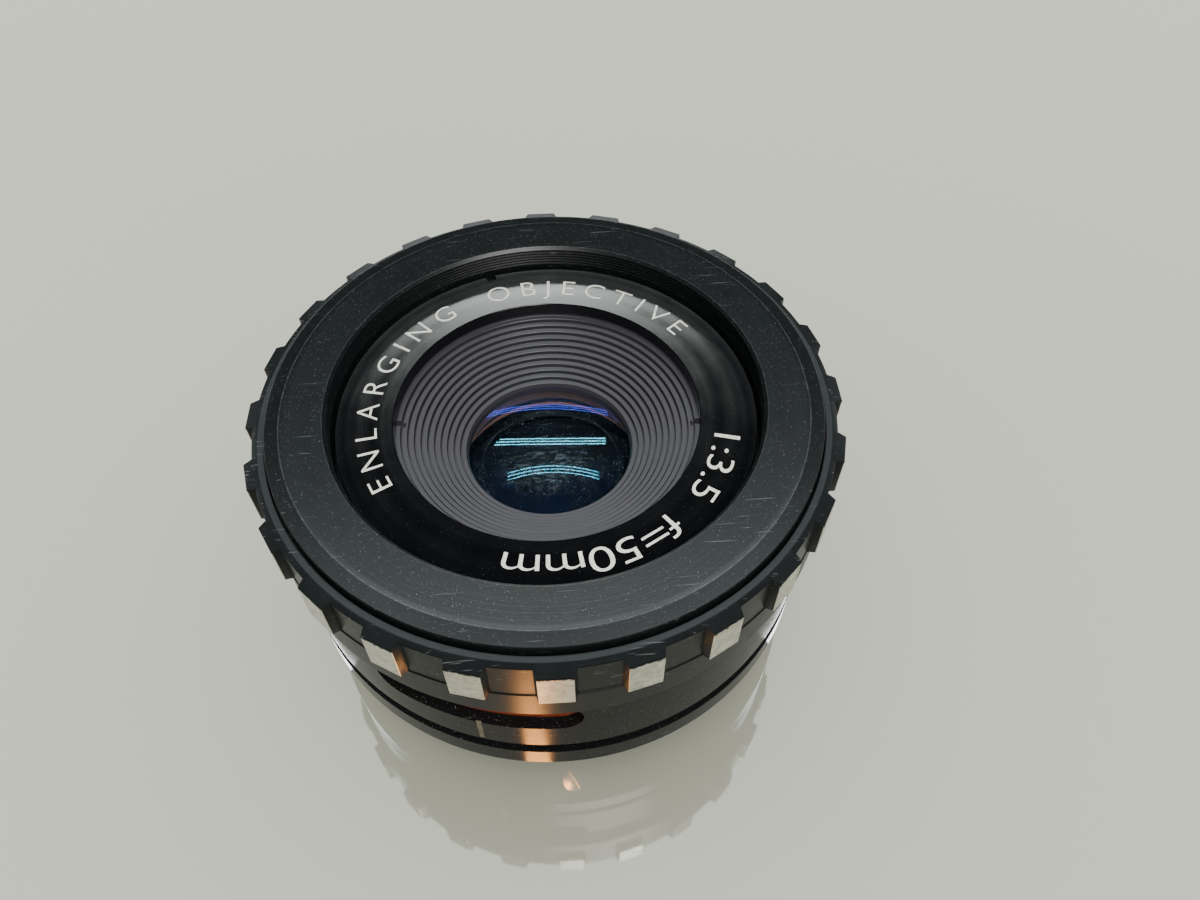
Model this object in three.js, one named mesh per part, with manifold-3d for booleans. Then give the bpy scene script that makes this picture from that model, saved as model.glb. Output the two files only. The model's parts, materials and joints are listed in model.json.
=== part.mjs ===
// A 50 mm f/3.5 screw-mount enlarging lens, standing on the rim of its rear thread.
//
// Units are millimetres and +Z is the optical axis, towards the front of the lens.
// The origin is the centre of the rear rim. The lens is designed from the inside out:
// the open iris sets the blades, the blades set the cam ring, and each sleeve around
// them is a wall and a clearance larger than the one inside it.

import * as THREE from 'three';
import { mergeVertices } from 'three/addons/utils/BufferGeometryUtils.js';
import Module from 'manifold-3d';

const wasm = await Module();
wasm.setup();

// ---------------------------------------------------------------- clearances
const CLEAR = 0.3; // between pieces that seat on or slide past each other
const SCREW_CLEAR = 0.25; // round a screw or pin in its hole
const SLEEVE_CLEAR = 0.35; // between the core tube and the turning scale drum

// ------------------------------------------------------------- overall sizes
const OPEN_APERTURE_RADIUS = 7.9; // iris wide open
const THREAD_RADIUS = 19.5; // M39 x 1/26 inch
const THREAD_LENGTH = 5.6;
const THREAD_WALL = 2.5;
const THREAD_CHAMFER = 0.3;
const RELIEF_DEPTH = 0.6; // undercut between thread and flange
const RELIEF_HEIGHT = 0.6;
const RELIEF_SINK = 0.3; // undercut into the flange, so that a board seats flat
const RELIEF_STEP = 0.2; // undercut outside the thread

// ---------------------------------------------------------------------- iris
const BLADE_COUNT = 5;
const BLADE_WIDTH = 4.5;
const BLADE_SPAN = 112; // degrees of arc
const BLADE_THICKNESS = 0.12;
const BLADE_PITCH = 0.34; // from one blade to the next in the stack
const PIVOT_MARGIN = 1.4; // from the blade's outer edge to its pivot
const PIN_RADIUS = 0.4;
const ARM_LENGTH = 3.0; // from pivot to drive pin
const RING_TRAVEL = 65; // degrees the aperture ring turns, f/3.5 to f/16
const BLADE_TRAVEL = 28; // degrees each blade swings meanwhile
const CAM_WEB = 0.8;
const CAM_RIM_HEIGHT = 2.8;
const CAM_RIM_WALL = 1.0;
const CAM_RETAINER_THICKNESS = 0.7;
const CAM_RETAINER_WIDTH = 2.6;
const CAM_SLOT_MARGIN = 0.435;
const CAM_SLOT_WEB = 0.7; // cam ring left inside its slots
const BASE_PLATE_THICKNESS = 0.5;
const STOP_COUNT = 6; // clicks from f/3.5 to f/16

// --------------------------------------------------------- sleeves and rings
const CAM_TO_CORE = 0.9; // room between the cam ring and the core tube
const CORE_WALL = 2.1;
const CORE_LIP_WALL = 0.65; // round the neck of the front plate
const CORE_LEDGE_WIDTH = 2.3;
const CORE_LEDGE_THICKNESS = 0.5;
const DRUM_WALL = 0.9;
const DRUM_TO_WINDOW = 0.45;
const WINDOW_THICKNESS = 0.8;
const BODY_WALL = 1.0;
const SKIRT_STEP = 0.68; // grip skirt outside the body
const SKIRT_LENGTH = 3.45;
const FLANGE_THICKNESS = 2.6;
const FLANGE_STEP = 0.05;
const GROOVE_HEIGHT = 1.3; // black groove over the flange
const GROOVE_DEPTH = 1.3;
const BODY_FOOT_WIDTH = 1.8;
const BODY_FOOT_THICKNESS = 1.2;
const DRUM_SEAT_DEPTH = 0.9;
const RUNNING_FLOOR = 0.5; // drum above the body's foot

// ------------------------------------------------------------- grip of the ring
const TOOTH_COUNT = 24;
const TOOTH_HEIGHT = 0.62; // facet outside the skirt
const VALLEY_STEP = 0.08; // valley floor inside the skirt
const TOOTH_LENGTH = 4.1;
const TOOTH_ANGLE = 6; // degrees across the facet
const FLANK_ANGLE = 0.65; // degrees taken by each flank
const TOOTH_PHASE = -91.7; // degrees, the tooth nearest the front
const RIM_BEVEL_DROP = 0.25;
const RIM_BEVEL_WIDTH = 1.2;
const RIM_WIDTH = 0.5;
const RIM_DROP = 1.0; // rim below the front face

// ---------------------------------------------------------------- front plate
const PLATE_GAP = 0.2; // dark gap between plate and rim
const PLATE_BEVEL_WIDTH = 1.2;
const PLATE_BEVEL_DROP = 0.23;
const PLATE_THICKNESS = 1.75;
const MOUTH_CHAMFER = 0.25;
const NECK_WALL = 0.79;
const NECK_LEDGE_WIDTH = 1.16;
const NECK_LEDGE_THICKNESS = 0.7;

// ------------------------------------------------------ name ring and baffle
const NAME_RING_DEPTH = 2.4; // below the front face
const NAME_RING_THICKNESS = 1.2;
const NAME_NOTCH_ANGLE = 104.7;
const NAME_NOTCH_WIDTH = 0.9;
const NAME_NOTCH_DEPTH = 0.6;
const CONE_RIM_RADIUS = 13.09;
const CONE_HOLE_RADIUS = 7.24;
const CONE_DEPTH = 3.48;
const CONE_RIM_WIDTH = 1.51;
const CONE_LAND = 0.7; // height of the hole's edge
const CONE_SEAT_GAP = 0.5; // seat above the edge of the front glass
const CONE_TO_NAME = 0.33;
const SPANNER_ANGLE = -4.5;
const SPANNER_WIDTH = 0.6;
const SPANNER_LENGTH = 0.9;

// ---------------------------------------------------------------------- glass
const FRONT_GLASS_RADIUS = 9.5;
const FRONT_GLASS_EDGE = 1.0;
const FRONT_GLASS_CURVE = 20;
const FRONT_GLASS_RECESS = 0.29; // vertex below the hole's top edge
const MIDDLE_GLASS_RADIUS = 8.4;
const MIDDLE_GLASS_EDGE = 2.4;
const MIDDLE_GLASS_CURVE = 50.8;
const SPACER_THICKNESS = 0.3;
const GLASS_CLEAR = 0.15; // between the spacer and the glass
const BLADE_TO_CELL = 0.27;
const REAR_GLASS_RADIUS = 8.6;
const REAR_GLASS_EDGE = 1.8;
const REAR_GLASS_CURVE = 30;

// ---------------------------------------------------------------------- cells
const CELL_WALL = 1.3;
const CAM_ON_NECK = 0.54; // the cam ring turns round the cell's neck
const REAR_FLANGE_CLEAR = 0.4;
const CELL_LIP = 0.9; // how far a lip reaches over its glass
const CELL_LIP_THICKNESS = 0.3;
const CELL_FLANGE_THICKNESS = 0.4;
const REAR_CELL_WALL = 1.2;
const REAR_CELL_SHELF = 1.3;
const REAR_CELL_DROP = 0.6; // top of the cell below the flange's top
const REAR_FLANGE_THICKNESS = 1.2;
const REAR_LEDGE_THICKNESS = 1.3;
const RETAINER_THICKNESS = 1.3;
const RETAINER_OVERLAP = 0.9;
const SLOT_LENGTH = 1.2; // of the retaining ring's spanner slots
const SLOT_DEPTH = 0.6;

// --------------------------------------------------------------- scale window
const WINDOW_START = -129.5; // degrees
const WINDOW_END = -87.1;
const WINDOW_HEIGHT = 3.8;
const WINDOW_TOP_WEB = 0.5; // body wall left over the slot
const WINDOW_OVERLAP = 1.5; // degrees the red window runs past the slot
const INDEX_ANGLE = -107.7;
const INDEX_WIDTH = 0.5;
const INDEX_DEPTH = 0.4;

// ------------------------------------------------------- click and fasteners
const BALL_SINK = 0.05; // ball below each face of the core wall
const BALL_RADIUS = CORE_WALL / 2 - BALL_SINK;
const BALL_ANGLE = 90;
const BALL_DROP = 1.4; // below the core tube's shoulder
const LEAF_THICKNESS = 0.25;
const LEAF_WIDTH = 1.0;
const LEAF_HALF_SPAN = 28; // degrees each side of the ball
const LEAF_GAP = 0.2; // to the core tube
const LEAF_SCREW_SHANK = 0.5;
const LEAF_SCREW_HEAD = 0.9;
const LEAF_HEAD_HEIGHT = 0.4;
const LEAF_SCREW_INSET = 4; // degrees from the leaf's end
const DETENT_RADIUS = 0.45;
const DRIVE_ANGLE = 60; // degrees, the drive screw with the iris open
const DRIVE_SHANK = 0.55;
const DRIVE_HEAD = 0.95;
const SCREW_COUNT = 3;
const FLANGE_SCREW_SHANK = 0.45;
const FLANGE_SCREW_HEAD = 1.1;
const FLANGE_SCREW_START = 30; // degrees
const CELL_SCREW_SHANK = 0.6;
const CELL_SCREW_HEAD = 1.2;
const CELL_SCREW_START = 90; // degrees
const HEAD_HEIGHT = 0.6;
const HEAD_INSET = 0.15; // of a screw head below its face
const WELD = 0.1; // overlap of two solids of one piece
const BITE = 0.8; // how deep a screw enters the last piece

// --------------------------------------------------------- facets of the model
const BIG_STEPS = 48;
const SMALL_STEPS = 32;
const HOLE_STEPS = 12;
const TOOTHED_STEPS = 72;
const CAP_STEPS = 4; // of a strip's round end

const radians = THREE.MathUtils.degToRad;

/** How far a spherical surface falls back at a given height from the axis. */
function sag(curve, radius) {
  return curve - Math.sqrt(curve * curve - radius * radius);
}

// ------------------------------------------------------------ derived heights
const Z = {};

// mount and rear cell, which hangs from the ledge under the flange
Z.flangeTop = THREAD_LENGTH + FLANGE_THICKNESS;
Z.rearLedge = Z.flangeTop - REAR_LEDGE_THICKNESS;
Z.rearFlangeTop = Z.rearLedge - CLEAR;
Z.rearFlangeBottom = Z.rearFlangeTop - REAR_FLANGE_THICKNESS;
Z.rearCellTop = Z.flangeTop - REAR_CELL_DROP;
Z.rearLip = Z.rearCellTop - CELL_LIP_THICKNESS;
Z.rearGlassTop = Z.rearLip - CLEAR;
Z.rearGlass = Z.rearGlassTop - REAR_GLASS_EDGE;
Z.rearShelf = Z.rearGlass - CLEAR;
Z.retainerTop = Z.rearShelf - CLEAR;
Z.retainerBottom = Z.retainerTop - RETAINER_THICKNESS;
Z.rearCellBottom = Z.retainerBottom - CLEAR;

// body foot, core tube and iris
Z.bodyBottom = Z.flangeTop + GROOVE_HEIGHT;
Z.footBottom = Z.flangeTop + CLEAR;
Z.footTop = Z.footBottom + BODY_FOOT_THICKNESS;
Z.coreLedge = Z.footBottom + CORE_LEDGE_THICKNESS;
Z.basePlate = Z.coreLedge + CLEAR;
Z.baseTop = Z.basePlate + BASE_PLATE_THICKNESS;
Z.firstBlade = Z.baseTop + SCREW_CLEAR;
Z.lastBlade = Z.firstBlade + (BLADE_COUNT - 1) * BLADE_PITCH + BLADE_THICKNESS;
Z.cam = Z.lastBlade + SCREW_CLEAR;
Z.camWebTop = Z.cam + CAM_WEB;
Z.camTop = Z.cam + CAM_RIM_HEIGHT;
Z.drive = (Z.camWebTop + Z.camTop) / 2;
Z.camRetainer = Z.camTop + CLEAR;
Z.camRetainerTop = Z.camRetainer + CAM_RETAINER_THICKNESS;
Z.cellShoulder = Z.camRetainerTop + CLEAR;

// front cell, its glass and the cone over it
Z.cellBottom = Z.lastBlade + BLADE_TO_CELL;
Z.cellLip = Z.cellBottom + CELL_LIP_THICKNESS;
Z.middleBottom = Z.cellLip + CLEAR;
Z.middleTop = Z.middleBottom + MIDDLE_GLASS_EDGE;
Z.spacerBottom = Z.middleTop + GLASS_CLEAR;
Z.spacerTop = Z.spacerBottom + SPACER_THICKNESS;
Z.frontBack = Z.spacerTop + GLASS_CLEAR;
Z.frontEdge = Z.frontBack + FRONT_GLASS_EDGE;
Z.frontVertex = Z.frontEdge + sag(FRONT_GLASS_CURVE, FRONT_GLASS_RADIUS);
Z.coneSeat = Z.frontEdge + CONE_SEAT_GAP;
Z.coneHole = Z.frontVertex + FRONT_GLASS_RECESS;
Z.coneRim = Z.coneHole + CONE_DEPTH;
Z.cellTop = Z.coneRim - CLEAR;

// name ring and front plate
Z.nameBottom = Z.coneRim + CONE_TO_NAME;
Z.nameTop = Z.nameBottom + NAME_RING_THICKNESS;
Z.front = Z.nameTop + NAME_RING_DEPTH;
Z.plateBack = Z.front - PLATE_THICKNESS;
Z.ledgeTop = Z.nameBottom - CLEAR;
Z.neckBottom = Z.ledgeTop - NECK_LEDGE_THICKNESS;
Z.cellFlangeTop = Z.neckBottom - CLEAR;
Z.cellFlangeBottom = Z.cellFlangeTop - CELL_FLANGE_THICKNESS;
Z.coreShoulder = Z.cellFlangeBottom - CLEAR;
Z.coreTop = Z.plateBack - CLEAR;
Z.ball = Z.coreShoulder - BALL_DROP;

// aperture ring, drum and the body under them
Z.rim = Z.front - RIM_DROP;
Z.toothTop = Z.rim - RIM_BEVEL_DROP;
Z.toothBottom = Z.toothTop - TOOTH_LENGTH;
Z.skirtBottom = Z.toothBottom - SKIRT_LENGTH;
Z.drumSeat = Z.skirtBottom + DRUM_SEAT_DEPTH;
Z.drumTop = Z.drumSeat - CLEAR;
Z.drumBottom = Z.footTop + RUNNING_FLOOR;
Z.bodyTop = Z.skirtBottom - CLEAR;
Z.windowTop = Z.bodyTop - WINDOW_TOP_WEB;
Z.windowBottom = Z.windowTop - WINDOW_HEIGHT;

// -------------------------------------------------------------- derived radii
const R = {};
R.bladeOuter = OPEN_APERTURE_RADIUS + BLADE_WIDTH;
R.pivot = R.bladeOuter + PIVOT_MARGIN;
R.pinHole = PIN_RADIUS + SCREW_CLEAR;
R.camSlotOuter = drivePin(1).length() + R.pinHole;
R.camRimInner = R.camSlotOuter + CAM_SLOT_MARGIN;
R.cam = R.camRimInner + CAM_RIM_WALL;
R.camInner = drivePin(0).length() - R.pinHole - CAM_SLOT_WEB;
R.coreBore = R.cam + CAM_TO_CORE;
R.core = R.coreBore + CORE_WALL;
R.coreLip = R.core - CORE_LIP_WALL;
R.coreLedge = R.coreBore - CORE_LEDGE_WIDTH;
R.neck = R.coreLip - CLEAR;
R.mouth = R.neck - NECK_WALL;
R.neckLedge = R.mouth - NECK_LEDGE_WIDTH;
R.ringBore = R.core + CLEAR;
R.drumInner = R.core + SLEEVE_CLEAR;
R.drum = R.drumInner + DRUM_WALL;
R.drumSeat = R.drum + CLEAR;
R.windowInner = R.drum + DRUM_TO_WINDOW;
R.window = R.windowInner + WINDOW_THICKNESS;
R.bodyInner = R.window + CLEAR;
R.body = R.bodyInner + BODY_WALL;
R.flange = R.body + FLANGE_STEP;
R.groove = R.body - GROOVE_DEPTH;
R.footInner = R.groove - BODY_FOOT_WIDTH;
R.skirt = R.body + SKIRT_STEP;
R.grip = R.skirt + TOOTH_HEIGHT;
R.valley = R.skirt - VALLEY_STEP;
R.rim = R.grip - RIM_BEVEL_WIDTH;
R.rimInner = R.rim - RIM_WIDTH;
R.plate = R.rimInner - PLATE_GAP;
R.plateFlat = R.plate - PLATE_BEVEL_WIDTH;
R.nameRing = R.mouth - SCREW_CLEAR;
R.nameBore = CONE_RIM_RADIUS - 0.04;
R.baffle = CONE_RIM_RADIUS + CONE_RIM_WIDTH;
R.cellBore = R.baffle + CLEAR;
R.cell = R.cellBore + CELL_WALL;
R.cellNeck = R.camInner - CAM_ON_NECK;
R.cellFlange = R.coreLip - SLEEVE_CLEAR;
R.threadBore = THREAD_RADIUS - THREAD_WALL;
R.rearBore = REAR_GLASS_RADIUS + CLEAR;
R.retainer = R.rearBore + REAR_CELL_SHELF - CLEAR;
R.rearThreadBore = R.rearBore + REAR_CELL_SHELF;
R.rearCell = R.rearThreadBore + REAR_CELL_WALL;
R.rearFlange = R.threadBore - REAR_FLANGE_CLEAR;
R.rearLedge = R.rearCell + REAR_CELL_WALL;
R.flangeScrew = (R.groove + R.footInner) / 2;
R.cellScrew = (R.rearLedge + R.rearFlange) / 2;
R.leaf = R.coreBore - LEAF_GAP;
R.camRetainer = R.coreBore - CLEAR;

/** Place of a blade's drive pin, for its pivot on +X, at a fraction of the travel. */
function drivePin(fraction) {
  const swing = radians(-90 + BLADE_TRAVEL * (fraction - 0.5));
  const x = R.pivot + ARM_LENGTH * Math.cos(swing);
  const y = ARM_LENGTH * Math.sin(swing);
  return new THREE.Vector2(x, y);
}

// ------------------------------------------------------------- solid modelling

/** Makes a closed solid of a geometry, with shared vertices and no empty triangles. */
function solid(geometry) {
  geometry.deleteAttribute('normal');
  geometry.deleteAttribute('uv');
  const merged = mergeVertices(geometry, 1e-5);
  const index = merged.index.array;
  const triangles = [];
  for (let i = 0; i < index.length; i += 3) {
    const [a, b, c] = [index[i], index[i + 1], index[i + 2]];
    if (a !== b && b !== c && c !== a) {
      triangles.push(a, b, c);
    }
  }
  const vertProperties = new Float32Array(merged.attributes.position.array);
  const triVerts = new Uint32Array(triangles);
  return new wasm.Manifold(new wasm.Mesh({ numProp: 3, vertProperties, triVerts }));
}

/** Turns a closed outline of [radius, height] points about the Z axis. */
function turned(outline, steps = BIG_STEPS) {
  const points = outline.map(([radius, height]) => new THREE.Vector2(radius, height));
  if (THREE.ShapeUtils.area(points) < 0) {
    points.reverse();
  }
  points.push(points[0].clone());
  const geometry = new THREE.LatheGeometry(points, steps);
  geometry.rotateX(Math.PI / 2);
  return solid(geometry);
}

/** A plain ring between two radii and two heights. */
function ring(inner, outer, bottom, top, steps = BIG_STEPS) {
  return turned([[inner, bottom], [outer, bottom], [outer, top], [inner, top]], steps);
}

/** A flat plate of the given outline, from one height to another. */
function plate(shape, bottom, top, curveSegments = 12) {
  const settings = { depth: top - bottom, bevelEnabled: false, curveSegments };
  const geometry = new THREE.ExtrudeGeometry(shape, settings);
  geometry.translate(0, 0, bottom);
  return solid(geometry);
}

/** A block bent round the axis: two radii, two angles in degrees, two heights. */
function bentBlock(inner, outer, start, end, bottom, top, curveSegments = 16) {
  const shape = new THREE.Shape();
  shape.absarc(0, 0, outer, radians(start), radians(end), false);
  shape.absarc(0, 0, inner, radians(end), radians(start), true);
  shape.closePath();
  return plate(shape, bottom, top, curveSegments);
}

/** A round bar along Z. */
function upright(radius, bottom, top, x = 0, y = 0, steps = HOLE_STEPS) {
  const geometry = new THREE.CylinderGeometry(radius, radius, top - bottom, steps);
  geometry.rotateX(Math.PI / 2);
  geometry.translate(x, y, (top + bottom) / 2);
  return solid(geometry);
}

/** A round bar pointing out from the axis, at an angle in degrees and a height. */
function spoke(radius, inner, outer, angle, height, steps = HOLE_STEPS) {
  const geometry = new THREE.CylinderGeometry(radius, radius, outer - inner, steps);
  geometry.rotateZ(-Math.PI / 2);
  geometry.translate((outer + inner) / 2, 0, height);
  geometry.rotateZ(radians(angle));
  return solid(geometry);
}

/** A strip with round ends along a path of points. */
function strip(path, halfWidth) {
  const sides = { left: [], right: [] };
  path.forEach((point, i) => {
    const before = path[Math.max(i - 1, 0)];
    const after = path[Math.min(i + 1, path.length - 1)];
    const along = after.clone().sub(before).normalize();
    const across = new THREE.Vector2(-along.y, along.x).multiplyScalar(halfWidth);
    sides.left.push(point.clone().add(across));
    sides.right.push(point.clone().sub(across));
  });
  const last = path.length - 1;
  const cap = (centre, from) => {
    const arm = from.clone().sub(centre);
    const points = [];
    for (let step = 1; step < CAP_STEPS; step += 1) {
      const turn = (-Math.PI * step) / CAP_STEPS;
      points.push(arm.clone().rotateAround(new THREE.Vector2(), turn).add(centre));
    }
    return points;
  };
  const far = cap(path[last], sides.left[last]);
  const near = cap(path[0], sides.right[0]);
  return new THREE.Shape([...sides.left, ...far, ...sides.right.reverse(), ...near]);
}

/** Joins a list of solids into one. */
function joined(pieces) {
  return pieces.reduce((whole, piece) => whole.add(piece));
}

/** Runs a function for each of a number of equally spaced angles, in degrees. */
function around(count, start, make) {
  return Array.from({ length: count }, (_, i) => make(start + (360 * i) / count, i));
}

/** X and Y of a point at a radius and an angle in degrees. */
function polar(radius, angle) {
  return [radius * Math.cos(radians(angle)), radius * Math.sin(radians(angle))];
}

/** Half the angle, in degrees, that a width takes up at a radius. */
function halfAngle(width, radius) {
  return THREE.MathUtils.radToDeg(width / 2 / radius);
}

// -------------------------------------------------------------------- finishes
const FINISH = {
  black: { color: 0x2b2d30, roughness: 0.42, metalness: 0.6 },
  satin: { color: 0x15161a, roughness: 0.5, metalness: 0.3 },
  baffle: { color: 0x55505a, roughness: 0.45, metalness: 0.3 },
  glass: { color: 0x1a1f4a, roughness: 0.03, metalness: 0.0 },
  steel: { color: 0x9a9a96, roughness: 0.3, metalness: 1.0 },
  blade: { color: 0x202022, roughness: 0.55, metalness: 0.7 },
  brass: { color: 0xb08d4a, roughness: 0.35, metalness: 1.0 },
  red: { color: 0x3a0a08, roughness: 0.2, metalness: 0.0 },
  white: { color: 0xd9d6c8, roughness: 0.6, metalness: 0.0 },
};

const lens = new THREE.Group();

/** Adds a solid to the lens as a named mesh with one of the finishes. */
function addPiece(name, body, finish) {
  const mesh = body.getMesh();
  const geometry = new THREE.BufferGeometry();
  geometry.setAttribute('position', new THREE.BufferAttribute(mesh.vertProperties, 3));
  geometry.setIndex(new THREE.BufferAttribute(mesh.triVerts, 1));
  geometry.computeVertexNormals();
  const piece = new THREE.Mesh(geometry, new THREE.MeshStandardMaterial(FINISH[finish]));
  piece.name = name;
  lens.add(piece);
}

// ------------------------------------------------------------ the fixed housing

/** Rear barrel: mount thread, flange and the ledge that carries the rear cell. */
function mountBarrel() {
  const reliefTop = THREAD_LENGTH;
  const reliefRadius = THREAD_RADIUS - RELIEF_DEPTH;
  let barrel = turned([
    [R.threadBore, 0],
    [THREAD_RADIUS - THREAD_CHAMFER, 0],
    [THREAD_RADIUS, THREAD_CHAMFER],
    [THREAD_RADIUS, reliefTop - RELIEF_HEIGHT],
    [reliefRadius, reliefTop - RELIEF_HEIGHT / 2],
    [reliefRadius, reliefTop + RELIEF_SINK],
    [THREAD_RADIUS + RELIEF_STEP, reliefTop + RELIEF_SINK],
    [THREAD_RADIUS + RELIEF_STEP, reliefTop],
    [R.flange, reliefTop],
    [R.flange, Z.flangeTop],
    [R.rearLedge, Z.flangeTop],
    [R.rearLedge, Z.rearLedge],
    [R.threadBore, Z.rearLedge],
  ]);
  around(SCREW_COUNT, FLANGE_SCREW_START, (angle) => {
    const [x, y] = polar(R.flangeScrew, angle);
    const bore = upright(FLANGE_SCREW_SHANK + SCREW_CLEAR, THREAD_LENGTH - 1, Z.flangeTop + 1, x, y);
    const sink = upright(FLANGE_SCREW_HEAD + SCREW_CLEAR, THREAD_LENGTH - 1, flangeHeadTop() + CLEAR, x, y);
    barrel = barrel.subtract(bore).subtract(sink);
  });
  around(SCREW_COUNT, CELL_SCREW_START, (angle) => {
    const [x, y] = polar(R.cellScrew, angle);
    const bore = upright(CELL_SCREW_SHANK + SCREW_CLEAR, Z.rearLedge - 1, Z.flangeTop + 1, x, y);
    barrel = barrel.subtract(bore);
  });
  return barrel;
}

/** Top of the countersunk heads in the flange. */
function flangeHeadTop() {
  return THREAD_LENGTH + HEAD_INSET + HEAD_HEIGHT;
}

/** Outer body with the scale window, the groove's floor and the foot. */
function bodyShell() {
  const shell = turned([
    [R.bodyInner, Z.bodyTop],
    [R.body, Z.bodyTop],
    [R.body, Z.bodyBottom],
    [R.groove, Z.bodyBottom],
    [R.groove, Z.footBottom],
    [R.footInner, Z.footBottom],
    [R.footInner, Z.footTop],
    [R.bodyInner, Z.footTop],
  ]);
  const screwHoles = around(SCREW_COUNT, FLANGE_SCREW_START, (angle) => {
    const [x, y] = polar(R.flangeScrew, angle);
    return upright(FLANGE_SCREW_SHANK + SCREW_CLEAR, Z.footBottom - 1, Z.footTop + 1, x, y);
  });
  const halfMark = halfAngle(INDEX_WIDTH, R.body) * 1.6;
  const markGroove = bentBlock(
    R.body - INDEX_DEPTH, R.body + 1, INDEX_ANGLE - halfMark, INDEX_ANGLE + halfMark,
    Z.bodyBottom - 1, Z.windowBottom + 1,
  );
  return shell.subtract(joined([...screwHoles, windowSlot()])).subtract(markGroove);
}

/** The obround slot through the body wall, with its two round ends. */
function windowSlot() {
  const round = WINDOW_HEIGHT / 2;
  const inset = halfAngle(WINDOW_HEIGHT, R.body);
  const middle = (Z.windowTop + Z.windowBottom) / 2;
  const inner = R.bodyInner - 1;
  const outer = R.body + 1;
  return joined([
    bentBlock(inner, outer, WINDOW_START + inset, WINDOW_END - inset, Z.windowBottom, Z.windowTop),
    spoke(round, inner, outer, WINDOW_START + inset, middle, 24),
    spoke(round, inner, outer, WINDOW_END - inset, middle, 24),
  ]);
}

/** Inner sleeve that carries the cells, the iris and the turning ring. */
function coreTube() {
  const tube = turned([
    [R.coreLedge, Z.footBottom],
    [R.core, Z.footBottom],
    [R.core, Z.coreTop],
    [R.coreLip, Z.coreTop],
    [R.coreLip, Z.coreShoulder],
    [R.coreBore, Z.coreShoulder],
    [R.coreBore, Z.coreLedge],
    [R.coreLedge, Z.coreLedge],
  ]);
  const driveRoom = halfAngle(2 * (DRIVE_SHANK + CLEAR), R.coreBore);
  const driveSlot = bentBlock(
    R.coreBore - 1, R.core + 1, DRIVE_ANGLE - driveRoom, DRIVE_ANGLE + RING_TRAVEL + driveRoom,
    Z.drive - DRIVE_SHANK - CLEAR, Z.drive + DRIVE_SHANK + CLEAR,
  );
  const ballHole = spoke(BALL_RADIUS + SCREW_CLEAR, R.coreBore - 1, R.core + 1, BALL_ANGLE, Z.ball, 20);
  const leafScrewHole = spoke(
    LEAF_SCREW_SHANK + SCREW_CLEAR, R.coreBore - 1, R.coreBore + 1.5, leafScrewAngle(), Z.ball,
  );
  return tube.subtract(driveSlot).subtract(ballHole).subtract(leafScrewHole);
}

/** Front plate: the broad turned face, the filter thread's bore and the neck. */
function frontPlate() {
  return turned([
    [R.mouth, Z.ledgeTop],
    [R.mouth, Z.front - MOUTH_CHAMFER],
    [R.mouth + MOUTH_CHAMFER, Z.front],
    [R.plateFlat, Z.front],
    [R.plate, Z.front - PLATE_BEVEL_DROP],
    [R.plate, Z.plateBack],
    [R.neck, Z.plateBack],
    [R.neck, Z.neckBottom],
    [R.neckLedge, Z.neckBottom],
    [R.neckLedge, Z.ledgeTop],
  ]);
}

/** Flat ring that carries the lettering, with one notch in its rim. */
function nameRing() {
  const half = halfAngle(NAME_NOTCH_WIDTH, R.nameRing);
  const notch = bentBlock(
    R.nameRing - NAME_NOTCH_DEPTH, R.nameRing + 1,
    NAME_NOTCH_ANGLE - half, NAME_NOTCH_ANGLE + half, Z.nameBottom - 1, Z.nameTop + 1,
  );
  return ring(R.nameBore, R.nameRing, Z.nameBottom, Z.nameTop).subtract(notch);
}

/** Cone round the front glass, with two spanner notches in its rim. */
function coneBaffle() {
  const landBottom = Z.coneHole - CONE_LAND;
  const baffle = turned([
    [CONE_HOLE_RADIUS, Z.coneHole],
    [CONE_RIM_RADIUS, Z.coneRim],
    [R.baffle, Z.coneRim],
    [R.baffle, Z.coneSeat],
    [FRONT_GLASS_RADIUS + CLEAR, Z.coneSeat],
    [CONE_HOLE_RADIUS, landBottom],
  ]);
  const notches = [SPANNER_ANGLE, SPANNER_ANGLE + 180].map((angle) => {
    const half = halfAngle(SPANNER_WIDTH, CONE_RIM_RADIUS);
    return bentBlock(
      CONE_RIM_RADIUS - SPANNER_LENGTH, R.baffle + 1, angle - half, angle + half,
      Z.coneRim - SPANNER_LENGTH, Z.coneRim + 1,
    );
  });
  return baffle.subtract(joined(notches));
}

// ------------------------------------------------------------- cells and glass

/** Points along a spherical surface, from the axis out. */
function surface(vertex, curve, radius, falls) {
  const steps = 4;
  return Array.from({ length: steps + 1 }, (_, i) => {
    const r = (radius * i) / steps;
    return [r, vertex - falls * sag(curve, r)];
  });
}

/** Front element: convex in front, flat behind. */
function frontElement() {
  return turned([
    ...surface(Z.frontVertex, FRONT_GLASS_CURVE, FRONT_GLASS_RADIUS, 1),
    [FRONT_GLASS_RADIUS, Z.frontBack],
    [0, Z.frontBack],
  ], SMALL_STEPS);
}

/** Middle element: hollow on both sides. */
function middleElement() {
  const hollow = sag(MIDDLE_GLASS_CURVE, MIDDLE_GLASS_RADIUS);
  const front = surface(Z.middleTop - hollow, MIDDLE_GLASS_CURVE, MIDDLE_GLASS_RADIUS, -1);
  const back = surface(Z.middleBottom + hollow, MIDDLE_GLASS_CURVE, MIDDLE_GLASS_RADIUS, 1);
  return turned([...front, ...back.reverse()], SMALL_STEPS);
}

/** Rear element: convex on both sides. */
function rearElement() {
  const bulge = sag(REAR_GLASS_CURVE, REAR_GLASS_RADIUS);
  const front = surface(Z.rearGlassTop + bulge, REAR_GLASS_CURVE, REAR_GLASS_RADIUS, 1);
  const back = surface(Z.rearGlass - bulge, REAR_GLASS_CURVE, REAR_GLASS_RADIUS, -1);
  return turned([...front, ...back.reverse()], SMALL_STEPS);
}

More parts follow.
